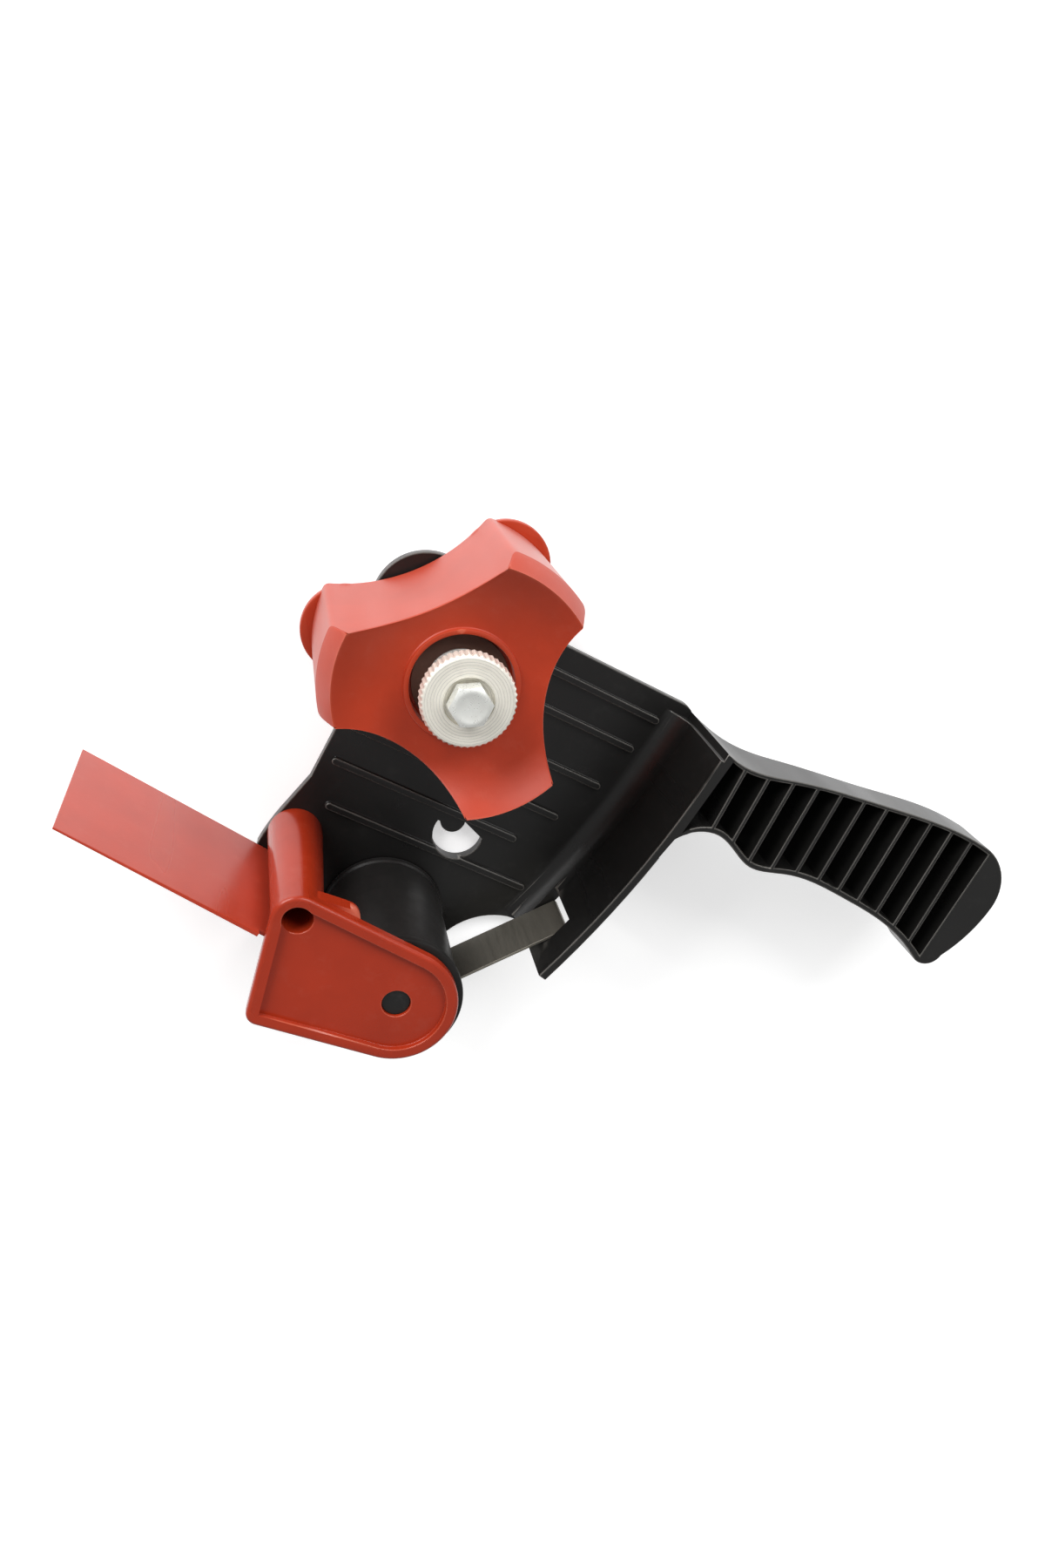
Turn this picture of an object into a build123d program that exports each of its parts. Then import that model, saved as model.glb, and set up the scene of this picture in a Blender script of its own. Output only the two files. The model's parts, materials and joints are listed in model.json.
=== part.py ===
from build123d import *
from math import cos, radians, sin
import os

# Hand-held carton tape dispenser, lying on the outer face of its side plate.
# Millimetres. Z is the axis of the tape hub, X runs back along the handle,
# Y points to the side of the tool that is on top when it is used.

os.makedirs("parts", exist_ok=True)


def polar(radius, degrees):
    """Point at a radius and an angle in the XY plane."""
    return (radius * cos(radians(degrees)), radius * sin(radians(degrees)))


# Levels above the resting face
plate_top = 3.5
bracket_inner = 57.5
bracket_field = 59.2
bracket_outer = 60.9
rim_top = 40.0

# Side plate, rear wall and grip
disc_radius = 20.0
disc_top = 4.7
boss_radius = 13.0
boss_top = 14.0
wall_thickness = 2.6
wall_fillet = 7.0
rib_width = 2.2
rib_height = 1.3
plate_ribs = [
    (5.8, 26.0, 71.5),
    (-5.5, 26.0, 69.0),
    (-20.6, 18.0, 65.6),
    (-35.1, -12.5, 58.6),
    (-47.0, -12.5, 50.2),
    (-60.7, -8.0, 60.5),
]
crescent_centre = (32.9, -53.0)
crescent_radius = 7.8
crescent_tab = (29.5, -49.8)
crescent_tab_radius = 3.8
crescent_top = [(22.0, -51.4), (26.0, -51.4), (33.3, -48.6), (42.0, -52.1), (42.0, -40.0), (22.0, -40.0)]
grip_wall = 1.8
grip_spine = 1.2
grip_floor = 26.0
grip_rib = 1.3
grip_rib_lean = 2.0
grip_rib_count = 11
grip_rib_first = 87.4
grip_rib_pitch = 7.73
grip_end = 171.3
grip_round = 5.0
grip_root = 12.0
grip_sweep = [(74.0, -9.0), (82.0, -1.0), (91.0, 11.0), (104.0, 18.5), (140.0, 21.0), (190.0, 20.0)]

# Tape hub for a 3 inch core
hub_radius = 37.5
hub_lobe_half = 19.0
hub_lobe_angles = [78.8, 198.8, 318.8]
hub_waist = 22.2
hub_corner = 1.5
hub_rear = 5.3
hub_taper_start = 50.0
hub_front = 57.4
hub_nose_radius = 34.1
hub_dish = 48.6
hub_wall = 2.6
hub_tab_radius = 13.0
hub_tab_reach = 41.0
hub_tab_top = 7.9
collar_outer = 15.3
collar_inner = 13.9
collar_top = 49.6
recess_floor = 44.0
bore_radius = 5.05

# Axle and brake stack, upwards from the boss
bolt_radius = 3.0
thread_hole = 3.05
nut_flats = 10.0
thrust_washer_t = 1.0
friction_washer_t = 1.0
spring_seat_t = 0.8
spring_wire = 1.1
spring_mean = 6.0
spring_bottom = recess_floor + friction_washer_t + spring_seat_t + 0.1
spring_top = 55.3
pressure_washer_t = 1.2
brake_nut_bottom = spring_top + pressure_washer_t
brake_nut_face = 62.5
brake_nut_radius = 12.4
knurl_count = 48
head_pocket_radius = 6.5
head_pocket_depth = 0.8
head_height = 5.0
head_bottom = brake_nut_face - head_pocket_depth + 0.3
bolt_length = 60.0
rear_nut_bottom = 2.3
rear_nut_t = 5.0
rear_washer_t = 1.0
nut_pocket = rear_nut_bottom + rear_nut_t + rear_washer_t

# Front bracket, roller, flap and blade
bar_centre = (-12.1, -73.2)
roller_centre = (23.3, -86.0)
toe_centre = (-9.6, -102.6)
bar_end_radius = 7.2
bar_near_radius = 7.0
bar_far_radius = 8.2
roller_end_radius = 17.0
toe_radius = 3.5
rim_width = 3.4
rim_round = 1.2
bar_hole = 4.2
stub_hole = 4.0
stub_radius = 3.93
sleeve_radius = 18.0
lip_radius = 18.8
core_radius = 16.0
roller_bottom = 4.1
roller_top = 56.9
bar_floor = 20.0
flap_pivot = (-11.6, -83.8)
flap_angle = 172.9
flap_reach = 66.6
flap_shoulder = 8.8
flap_offset = 1.4
flap_thickness = 1.2
flap_low = 3.9
flap_high = 59.5
flap_root_high = 57.1
bead_radius = 2.1
pin_radius = 1.0
pin_low = 1.0
pin_high = 59.0
stop_angle = 157.9
stop_reach = 6.9

# Toothed blade on the front of the foot bar
foot_centre = (0.6, -96.0)
foot_radius = 4.6
foot_neck = (1.2, -90.5)
foot_neck_radius = 2.2
blade_middle = (-3.4, -96.0)
blade_front = (-0.894, 0.447, 0)
blade_length = 50.0
blade_top = 7.0
blade_root = -7.0
blade_tip = -8.9
blade_teeth = 25
blade_thickness = 0.7
blade_screw_spacing = 20.0
blade_screw_rise = 1.8
blade_screw_radius = 1.5
blade_screw_head = 2.8
blade_screw_depth = 5.0

# Steel tape tongue
tongue_low = 8.0
tongue_high = 27.0
tongue_thickness = 0.8
tongue_tip = (43.8, -92.4)
tongue_fold = (71.75, -57.25)
tongue_fold_radius = 0.6
tail_end = (67.63, -71.2)
wall_window = [(64.8, -67.1), (72.3, -57.7), (72.0, -56.5), (66.8, -55.0), (63.0, -60.0)]
rivet_levels = [12.5, 22.5]
rivet_radius = 1.5
rivet_head_radius = 2.6
window_gap = 0.6
rivet_seat = wall_thickness / 2 + tongue_thickness + 0.3
wall_normal = (0.956, -0.2935, 0)

# Screws that hold the bracket to the side plate
screw_radius = 2.0
screw_head_radius = 3.8
screw_head_depth = 1.9
screw_length = 16.0

# Planes that several pieces share
bracket_middle = (plate_top + bracket_inner) / 2
blade_plane = Plane(
    origin=(blade_middle[0], blade_middle[1], bracket_middle), x_dir=(0, 0, 1), z_dir=blade_front
)

# Outer face of the rear wall, seen along Z
wall_outer = [(81.3, 10.5), (77.0, -30.0), (66.8, -71.6)]
wall_inner = [(78.7, 10.5), (74.4, -30.0), (64.3, -71.0)]


def rivet_spot(level):
    """Centre of a rivet in the thickness of the rear wall."""
    return (66.52, -68.2, level)


def grip_outline():
    """Closed edge of the grip, from the rear wall round its end and back."""
    Spline((79.8, 12.9), (86.5, 11.7), (104, 14.8), (130, 19.2), (158, 22.2), (168, 21.8))
    ThreePointArc((168, 21.8), (178.8, 17.2), (183.4, 6.0))
    ThreePointArc((183.4, 6.0), (181.9, -4.5), (177.9, -14.6))
    ThreePointArc((177.9, -14.6), (174.6, -19.3), (169.5, -18.8))
    Spline((169.5, -18.8), (156, -13.5), (136, -11.1), (116, -12.0), (104.2, -14.5),
           (97.5, -12.0), (90.4, -9.8), (83.2, -12.0), (78.4, -17.5))
    Line((78.4, -17.5), (79.8, 12.9))


def grip_opening():
    """Closed edge of the hollow inside the grip's rim."""
    t = grip_wall
    top = grip_spine
    Spline((82.1, 12.6 - top), (86.5, 11.7 - top), (104, 14.8 - top), (130, 19.2 - top),
           (158, 22.2 - top), (grip_end, 21.2 - top))
    Line((grip_end, 21.2 - top), (grip_end, t - 19.2))
    Spline((grip_end, t - 19.2), (156, t - 13.5), (136, t - 11.1), (116, t - 12.0),
           (104.2, t - 14.5), (97.5, t - 12.0), (90.4, t - 9.8), (83.2, t - 12.0),
           (80.0, t - 15.5))
    Line((80.0, t - 15.5), (82.1, 12.6 - top))


def hub_outline(radius, waist):
    """Three lobes of an outer radius joined by hollow sides."""
    for start in hub_lobe_angles:
        first = polar(radius, start - hub_lobe_half)
        last = polar(radius, start + hub_lobe_half)
        following = polar(radius, start + 120 - hub_lobe_half)
        ThreePointArc(first, polar(radius, start), last)
        ThreePointArc(last, polar(waist, start + 60), following)


def bracket_outline():
    """Round-cornered outline of the bracket, about its bar, roller and toe."""
    with Locations(bar_centre):
        Circle(bar_end_radius)
    with Locations(roller_centre):
        Circle(roller_end_radius)
    with Locations(toe_centre):
        Circle(toe_radius)
    make_hull()


# Frame: side plate, rear wall and ribbed open grip, one moulding
with BuildPart() as frame_body:
    # grip, whose rounded far side sweeps up from the plate
    with BuildSketch(Plane.XY.offset(-grip_root)):
        with BuildLine():
            grip_outline()
        make_face()
    extrude(amount=rim_top + grip_root)
    with BuildSketch(Plane.XZ.offset(-40)):
        with BuildLine():
            Spline(*grip_sweep)
            Polyline(grip_sweep[-1], (190, -14), (70, -14), grip_sweep[0])
        make_face()
    extrude(amount=80, mode=Mode.SUBTRACT)
    far_edges = frame_body.edges().filter_by(lambda edge: edge.bounding_box().max.Z < 25)
    far_edges = far_edges.filter_by(lambda edge: edge.bounding_box().max.X > 85)
    fillet(far_edges, radius=grip_round)
    with BuildSketch(Plane.XY):
        Rectangle(400, 200)
    extrude(amount=-grip_root, mode=Mode.SUBTRACT)
    # side plate
    with BuildSketch(Plane.XY):
        with BuildLine():
            Line((34.0, 14.2), (76.3, 14.2))
            TangentArc((76.3, 14.2), (81.3, 10.5), tangent=(1, 0))
            ThreePointArc(*wall_outer)
            ThreePointArc((66.8, -71.6), (49.9, -77.9), (44.2, -88.2))
            TangentArc((44.2, -88.2), (38.2, -94.2), tangent=(-0.22, -0.97))
            ThreePointArc((38.2, -94.2), (32.4, -100.4), (24.9, -102.9))
            Line((24.9, -102.9), (-9.8, -106.1))
            TangentArc((-9.8, -106.1), (-14.6, -101.6), tangent=(-1, -0.1))
            Line((-14.6, -101.6), (-20.9, -80.5))
            ThreePointArc((-20.9, -80.5), (-20.5, -76.0), (-19.0, -68.0))
            Line((-19.0, -68.0), (-15.7, -55.0))
            Line((-15.7, -55.0), (-15.6, -40.0))
            ThreePointArc((-15.6, -40.0), (-16.9, -30.0), (-20.5, -19.1))
            Line((-20.5, -19.1), (-24.2, 6.2))
            ThreePointArc((-24.2, 6.2), (-19.6, 17.4), (-8.4, 22.0))
            ThreePointArc((-8.4, 22.0), (12.8, 20.1), (34.0, 14.2))
        make_face()
    extrude(amount=plate_top)
    # rear wall, blended into the plate
    with BuildSketch(Plane.XY):
        with BuildLine():
            ThreePointArc(*wall_outer)
            Line(wall_outer[2], wall_inner[2])
            ThreePointArc(*reversed(wall_inner))
            Line(wall_inner[0], wall_outer[0])
        make_face()
    extrude(amount=rim_top)
    inner_corner = (
        frame_body.edges()
        .filter_by_position(Axis.Z, plate_top - 0.01, plate_top + 0.01)
        .filter_by(lambda edge: edge.length > 60)
        .filter_by(lambda edge: (edge @ 0.5).X > 70 and (edge @ 0.5).Y < 0)
    )
    fillet(inner_corner, radius=wall_fillet)
    # cells of the grip, open to the near side
    with BuildSketch(Plane.XY.offset(grip_floor)):
        with BuildLine():
            grip_opening()
        make_face()
        for rib in range(grip_rib_count):
            place = Location((grip_rib_first + rib * grip_rib_pitch, 0, 0), (0, 0, grip_rib_lean))
            with Locations(place):
                Rectangle(grip_rib, 80, mode=Mode.SUBTRACT)
    extrude(amount=rim_top, mode=Mode.SUBTRACT)
    # disc and boss that carry the hub axle
    with BuildSketch(Plane.XY):
        Circle(disc_radius)
    extrude(amount=disc_top)
    with BuildSketch(Plane.XY):
        Circle(boss_radius)
    extrude(amount=boss_top)
    # raised ribs on the plate
    with BuildSketch(Plane.XY.offset(plate_top)):
        for level, start, stop in plate_ribs:
            with Locations(((start + stop) / 2, level)):
                SlotOverall(stop - start, rib_width)
    extrude(amount=rib_height)
    # crescent window round a moulded tab
    with BuildSketch(Plane.XY):
        with Locations(crescent_centre):
            Circle(crescent_radius)
        with Locations(crescent_tab):
            Circle(crescent_tab_radius, mode=Mode.SUBTRACT)
        with BuildLine():
            Polyline(*crescent_top, close=True)
        make_face(mode=Mode.SUBTRACT)
    extrude(amount=plate_top + rib_height, mode=Mode.SUBTRACT)
    # axle hole and captive nut pocket
    with BuildSketch(Plane.XY):
        Circle(thread_hole)
    extrude(amount=boss_top, mode=Mode.SUBTRACT)
    with BuildSketch(Plane.XY):
        RegularPolygon(nut_flats / 2 + 0.15, 6, major_radius=False)
    extrude(amount=nut_pocket, mode=Mode.SUBTRACT)
    # holes for the roller stub, the flap pin and the bracket screws
    with BuildSketch(Plane.XY):
        with Locations(roller_centre):
            Circle(stub_hole)
    extrude(amount=plate_top, mode=Mode.SUBTRACT)
    with BuildSketch(Plane.XY.offset(1.0)):
        with Locations(flap_pivot):
            Circle(pin_radius)
    extrude(amount=plate_top, mode=Mode.SUBTRACT)
    # window in the rear wall for the steel tongue
    with BuildSketch(Plane.XY.offset(tongue_low - window_gap)):
        with BuildLine():
            Polyline(*wall_window, close=True)
        make_face()
    extrude(amount=tongue_high - tongue_low + 2 * window_gap, mode=Mode.SUBTRACT)
    # rivet holes under that window
    for level in rivet_levels:
        with BuildSketch(Plane(rivet_spot(level), z_dir=wall_normal)):
            Circle(rivet_radius)
        extrude(amount=3.5, both=True, mode=Mode.SUBTRACT)
    # clearance holes for the two bracket screws
    with BuildSketch(Plane.XY):
        with Locations(bar_centre, foot_centre):
            Circle(screw_radius + 0.1)
    extrude(amount=plate_top, mode=Mode.SUBTRACT)
    with BuildSketch(Plane.XY):
        with Locations(bar_centre, foot_centre):
            Circle(screw_head_radius + 0.2)
    extrude(amount=screw_head_depth, mode=Mode.SUBTRACT)

frame_body.part.label = "frame_body"
export_step(frame_body.part, "parts/frame_body.step")

# Hub: three lobes, dished front, hollow back, tabs that stop the roll
with BuildPart() as tape_hub:
    with BuildSketch(Plane.XY.offset(hub_rear)):
        with BuildLine():
            hub_outline(hub_radius, hub_waist)
        make_face()
    extrude(amount=hub_front - hub_rear)
    with BuildSketch(Plane.XZ):
        with BuildLine():
            Polyline((0, hub_rear), (hub_radius, hub_rear), (hub_radius, hub_taper_start))
            Line((hub_radius, hub_taper_start), (hub_nose_radius, hub_front))
            ThreePointArc((hub_nose_radius, hub_front), (24.6, 50.9), (collar_outer, hub_dish))
            Polyline((collar_outer, hub_dish), (collar_outer, collar_top), (0, collar_top),
                     (0, hub_rear))
        make_face()
    revolve(axis=Axis.Z, mode=Mode.INTERSECT)
    fillet(tape_hub.edges().filter_by(Axis.Z), radius=hub_corner)
    # ear on the back of each lobe
    with BuildSketch(Plane.XY.offset(hub_rear)):
        with PolarLocations(hub_tab_reach - hub_tab_radius, 3, start_angle=hub_lobe_angles[0]):
            Circle(hub_tab_radius)
    extrude(amount=hub_tab_top - hub_rear)
    # hollow back, leaving the bearing tube and a web to each lobe
    with BuildSketch(Plane.XY.offset(hub_rear)):
        with BuildLine():
            hub_outline(hub_radius - hub_wall, hub_waist - hub_wall)
        make_face()
        Circle(bore_radius + hub_wall, mode=Mode.SUBTRACT)
        with PolarLocations(hub_radius / 2, 3, start_angle=hub_lobe_angles[0]):
            Rectangle(hub_radius, 2.0, mode=Mode.SUBTRACT)
    extrude(amount=recess_floor - 3.0 - hub_rear, mode=Mode.SUBTRACT)
    with BuildSketch(Plane.XY.offset(hub_rear)):
        Circle(boss_radius + 1.2)
    extrude(amount=boss_top + thrust_washer_t + 0.1 - hub_rear, mode=Mode.SUBTRACT)
    # recess for the brake and bore for the sleeve
    with BuildSketch(Plane.XY.offset(recess_floor)):
        Circle(collar_inner)
    extrude(amount=10, mode=Mode.SUBTRACT)
    with BuildSketch(Plane.XY):
        Circle(bore_radius)
    extrude(amount=60, mode=Mode.SUBTRACT)

tape_hub.part.label = "tape_hub"
export_step(tape_hub.part, "parts/tape_hub.step")

# Sleeve that the hub turns on
with BuildPart() as hub_sleeve:
    with BuildSketch(Plane.XY.offset(boss_top)):
        Circle(bore_radius - 0.05)
        Circle(thread_hole, mode=Mode.SUBTRACT)
    extrude(amount=recess_floor - boss_top)

hub_sleeve.part.label = "hub_sleeve"
export_step(hub_sleeve.part, "parts/hub_sleeve.step")

# Nylon washer between the boss and the hub
with BuildPart() as rear_thrust_washer:
    with BuildSketch(Plane.XY.offset(boss_top)):
        Circle(boss_radius - 0.5)
        Circle(bore_radius, mode=Mode.SUBTRACT)
    extrude(amount=thrust_washer_t)

rear_thrust_washer.part.label = "rear_thrust_washer"
export_step(rear_thrust_washer.part, "parts/rear_thrust_washer.step")

# Fibre washer that rubs on the floor of the hub's recess
with BuildPart() as front_friction_washer:
    with BuildSketch(Plane.XY.offset(recess_floor + 0.05)):
        Circle(collar_inner - 0.9)
        Circle(thread_hole, mode=Mode.SUBTRACT)
    extrude(amount=friction_washer_t)

front_friction_washer.part.label = "front_friction_washer"
export_step(front_friction_washer.part, "parts/front_friction_washer.step")

# Steel seat under the brake spring
with BuildPart() as spring_seat:
    with BuildSketch(Plane.XY.offset(recess_floor + 0.05 + friction_washer_t)):
        Circle(spring_mean + 3)
        Circle(thread_hole, mode=Mode.SUBTRACT)
    extrude(amount=spring_seat_t)

spring_seat.part.label = "spring_seat"
export_step(spring_seat.part, "parts/spring_seat.step")

# Brake spring: three open coils
with BuildPart() as brake_spring:
    coil_height = spring_top - spring_bottom - spring_wire
    with BuildLine(Plane.XY.offset(spring_bottom + spring_wire / 2)) as coil:
        Helix(pitch=coil_height / 3, height=coil_height, radius=spring_mean)
    with BuildSketch(Plane(coil.line @ 0, z_dir=coil.line % 0)):
        RegularPolygon(spring_wire / 2, 6)
    sweep(path=coil.line, is_frenet=True)

brake_spring.part.label = "brake_spring"
export_step(brake_spring.part, "parts/brake_spring.step")

# Steel washer that carries the nut's thrust to the spring
with BuildPart() as pressure_washer:
    with BuildSketch(Plane.XY.offset(spring_top)):
        Circle(spring_mean + 2)
        Circle(thread_hole, mode=Mode.SUBTRACT)
    extrude(amount=pressure_washer_t)

pressure_washer.part.label = "pressure_washer"
export_step(pressure_washer.part, "parts/pressure_washer.step")

# Knurled brake nut, with a shallow pocket round the bolt's head
with BuildPart() as brake_nut:
    with BuildSketch(Plane.XY.offset(brake_nut_bottom)):
        Circle(brake_nut_radius)
        with PolarLocations(brake_nut_radius + 0.1, knurl_count):
            RegularPolygon(0.62, 3, mode=Mode.SUBTRACT)
    extrude(amount=brake_nut_face - brake_nut_bottom)
    with BuildSketch(Plane.XZ):
        nut_edge = brake_nut_radius - 0.9
        with BuildLine():
            Polyline((0, brake_nut_bottom), (nut_edge, brake_nut_bottom),
                     (brake_nut_radius, brake_nut_bottom + 0.9),
                     (brake_nut_radius, brake_nut_face - 0.9), (nut_edge, brake_nut_face),
                     (0, brake_nut_face), (0, brake_nut_bottom))
        make_face()
    revolve(axis=Axis.Z, mode=Mode.INTERSECT)
    with BuildSketch(Plane.XY.offset(brake_nut_face - head_pocket_depth)):
        Circle(head_pocket_radius)
    extrude(amount=head_pocket_depth, mode=Mode.SUBTRACT)
    with BuildSketch(Plane.XY.offset(brake_nut_bottom)):
        Circle(thread_hole)
    extrude(amount=brake_nut_face - brake_nut_bottom, mode=Mode.SUBTRACT)

brake_nut.part.label = "brake_nut"
export_step(brake_nut.part, "parts/brake_nut.step")

# Hexagon bolt through the brake, hub and boss
with BuildPart() as hub_bolt:
    with BuildSketch(Plane.XY.offset(head_bottom)):
        RegularPolygon(nut_flats / 2, 6, major_radius=False)
    extrude(amount=head_height)
    with BuildSketch(Plane.XZ):
        head_top = head_bottom + head_height
        corner = nut_flats / 2 / cos(radians(30)) + 0.1
        with BuildLine():
            Polyline((0, head_bottom), (corner, head_bottom), (corner, head_top - 0.8),
                     (nut_flats / 2 - 0.5, head_top), (0, head_top), (0, head_bottom))
        make_face()
    revolve(axis=Axis.Z, mode=Mode.INTERSECT)
    with BuildSketch(Plane.XY.offset(head_bottom - bolt_length)):
        Circle(bolt_radius)
    extrude(amount=bolt_length)
    chamfer(hub_bolt.edges().sort_by(Axis.Z)[0], length=0.6)

hub_bolt.part.label = "hub_bolt"
export_step(hub_bolt.part, "parts/hub_bolt.step")

# Washer and locking nut held in the back of the boss
with BuildPart() as rear_washer:
    with BuildSketch(Plane.XY.offset(nut_pocket - rear_washer_t)):
        Circle(nut_flats / 2 - 0.05)
        Circle(thread_hole, mode=Mode.SUBTRACT)
    extrude(amount=rear_washer_t)

rear_washer.part.label = "rear_washer"
export_step(rear_washer.part, "parts/rear_washer.step")

with BuildPart() as rear_lock_nut:
    with BuildSketch(Plane.XY.offset(rear_nut_bottom)):
        RegularPolygon(nut_flats / 2, 6, major_radius=False)
        Circle(thread_hole, mode=Mode.SUBTRACT)
    extrude(amount=rear_nut_t)

rear_lock_nut.part.label = "rear_lock_nut"
export_step(rear_lock_nut.part, "parts/rear_lock_nut.step")

# Bracket: near plate with a raised rim, round bar and foot bar to the side plate
with BuildPart() as front_bracket:
    with BuildSketch(Plane.XY.offset(bracket_inner)):
        bracket_outline()
    extrude(amount=bracket_outer - bracket_inner)
    fillet(front_bracket.faces().sort_by(Axis.Z)[-1].edges(), radius=rim_round)
    with BuildSketch(Plane.XY.offset(bracket_field)):
        bracket_outline()
        offset(amount=-rim_width, mode=Mode.REPLACE)
    extrude(amount=2, mode=Mode.SUBTRACT)
    # foot bar, with the seat of the blade planed on its front
    with BuildSketch(Plane.XY.offset(plate_top)):
        with Locations(foot_centre):
            Circle(foot_radius)
        with Locations(foot_neck):
            Circle(foot_neck_radius)
        make_hull()
    extrude(amount=bracket_inner - plate_top)
    with BuildSketch(blade_plane):
        Rectangle(bracket_inner - plate_top, 24)
    extrude(amount=8, mode=Mode.SUBTRACT)
    # tapered round bar, flattened where the flap comes up against it
    with BuildSketch(Plane.XY.offset(plate_top)):
        with Locations(bar_centre):
            Circle(bar_far_radius)
    with BuildSketch(Plane.XY.offset(bracket_inner)):
        with Locations(bar_centre):
            Circle(bar_near_radius)
    loft()
    with BuildSketch(Plane.XY.offset(plate_top)):
        with Locations(Location((*bar_centre, 0), (0, 0, stop_angle))):
            with Locations((0, stop_reach + 2)):
                Rectangle(20, 4)
    extrude(amount=bracket_inner - plate_top, mode=Mode.SUBTRACT)
    # lump on the inside of the near plate, beside the bar
    with BuildSketch(Plane.XY.offset(bracket_inner - 5.0)):
        with Locations((0.1, -70.0), (-8.0, -70.6)):
            Circle(4.3)
        make_hull()
    extrude(amount=5.0)
    # deep hole in the bar, roller hole and flap pin hole
    with BuildSketch(Plane.XY.offset(bar_floor)):
        with Locations(bar_centre):
            Circle(bar_hole)
    extrude(amount=bracket_outer - bar_floor, mode=Mode.SUBTRACT)
    with BuildSketch(Plane.XY.offset(bracket_inner)):
        with Locations(roller_centre):
            Circle(stub_hole)
    extrude(amount=bracket_outer - bracket_inner, mode=Mode.SUBTRACT)
    with BuildSketch(Plane.XY.offset(bracket_inner)):
        with Locations(flap_pivot):
            Circle(pin_radius)
    extrude(amount=pin_high - bracket_inner, mode=Mode.SUBTRACT)
    # pilot holes for the bracket screws and the blade screws
    with BuildSketch(Plane.XY.offset(plate_top)):
        with Locations(bar_centre, foot_centre):
            Circle(screw_radius + 0.03)
    extrude(amount=screw_length, mode=Mode.SUBTRACT)
    with BuildSketch(blade_plane):
        with Locations((0, blade_screw_rise)):
            with GridLocations(blade_screw_spacing, 0, 2, 1):
                Circle(blade_screw_radius + 0.03)
    extrude(amount=-blade_screw_depth, mode=Mode.SUBTRACT)

front_bracket.part.label = "front_bracket"
export_step(front_bracket.part, "parts/front_bracket.step")

# Two screws driven through the side plate into the bar and the foot
with BuildPart() as bracket_screws:
    with BuildSketch(Plane.XY.offset(0.3)):
        with Locations(bar_centre, foot_centre):
            Circle(screw_head_radius)
    extrude(amount=screw_head_depth - 0.3)
    with BuildSketch(Plane.XY.offset(0.3)):
        with Locations(bar_centre, foot_centre):
            Circle(screw_radius)
    extrude(amount=screw_length)
    with BuildSketch(Plane.XY):
        with Locations(bar_centre, foot_centre):
            Rectangle(4.4, 1.0)
            Rectangle(1.0, 4.4)
    extrude(amount=1.4, mode=Mode.SUBTRACT)

bracket_screws.part.label = "bracket_screws"
export_step(bracket_screws.part, "parts/bracket_screws.step")

# Roller core: webbed drum with a stub axle at each end
with BuildPart() as roller_core:
    with BuildSketch(Plane.XY.offset(roller_bottom)):
        with Locations(roller_centre):
            Circle(core_radius)
            Circle(core_radius - 2.6, mode=Mode.SUBTRACT)
            Circle(stub_radius + 1.2)
            with PolarLocations(0, 2, angular_range=180):
                Rectangle(2 * core_radius - 2, 1.8)
    extrude(amount=roller_top - roller_bottom)
    with BuildSketch(Plane.XY.offset(roller_top - 2)):
        with Locations(roller_centre):
            Circle(core_radius)
    extrude(amount=2)
    with BuildSketch(Plane.XY.offset(0.8)):
        with Locations(roller_centre):
            Circle(stub_radius)
    extrude(amount=bracket_field - 1.0 - 0.8)

roller_core.part.label = "roller_core"
export_step(roller_core.part, "parts/roller_core.step")

# Rubber sleeve with a lip at each end
with BuildPart() as roller_sleeve:
    with BuildSketch(Plane(origin=(*roller_centre, 0), x_dir=(1, 0, 0), z_dir=(0, -1, 0))):
        with BuildLine():
            Polyline((core_radius, roller_bottom), (lip_radius - 0.6, roller_bottom),
                     (lip_radius, roller_bottom + 0.6), (lip_radius, roller_bottom + 2.2),
                     (sleeve_radius, roller_bottom + 2.8), (sleeve_radius, roller_top - 2.8),
                     (lip_radius, roller_top - 2.2), (lip_radius, roller_top - 0.6),
                     (lip_radius - 0.6, roller_top), (core_radius, roller_top),
                     (core_radius, roller_bottom))
        make_face()
    revolve(axis=Axis((*roller_centre, 0), (0, 0, 1)))

roller_sleeve.part.label = "roller_sleeve"
export_step(roller_sleeve.part, "parts/roller_sleeve.step")

# Wiping flap: thin sheet whose root is a bead on the flap pin
flap_plane = Plane(
    origin=(flap_pivot[0], flap_pivot[1], 0),
    x_dir=(cos(radians(flap_angle)), sin(radians(flap_angle)), 0),
    z_dir=(0, 0, -1),
)
with BuildPart() as wiper_flap:
    # local X runs to the tip, local Y to the bar, depth downwards from the near side
    with BuildSketch(flap_plane.offset(-flap_root_high)):
        Circle(bead_radius)
        with BuildLine():
            Polyline((0, 0), (0, bead_radius), (2.0, flap_offset + flap_thickness / 2),
                     (flap_shoulder, flap_offset + flap_thickness / 2),
                     (flap_shoulder, flap_offset - flap_thickness / 2),
                     (3.4, flap_offset - flap_thickness / 2), (1.2, -1.2), (0, 0))
        make_face()
        Circle(pin_radius + 0.06, mode=Mode.SUBTRACT)
    extrude(amount=flap_root_high - flap_low - 0.3)
    with BuildSketch(flap_plane.offset(-flap_high)):
        with BuildLine():
            Polyline((flap_shoulder - 0.6, flap_offset + flap_thickness / 2),
                     (flap_reach, flap_offset + 0.35), (flap_reach, flap_offset - 0.35),
                     (flap_shoulder - 0.6, flap_offset - flap_thickness / 2),
                     (flap_shoulder - 0.6, flap_offset + flap_thickness / 2))
        make_face()
    extrude(amount=flap_high - flap_low)

wiper_flap.part.label = "wiper_flap"
export_step(wiper_flap.part, "parts/wiper_flap.step")

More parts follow.
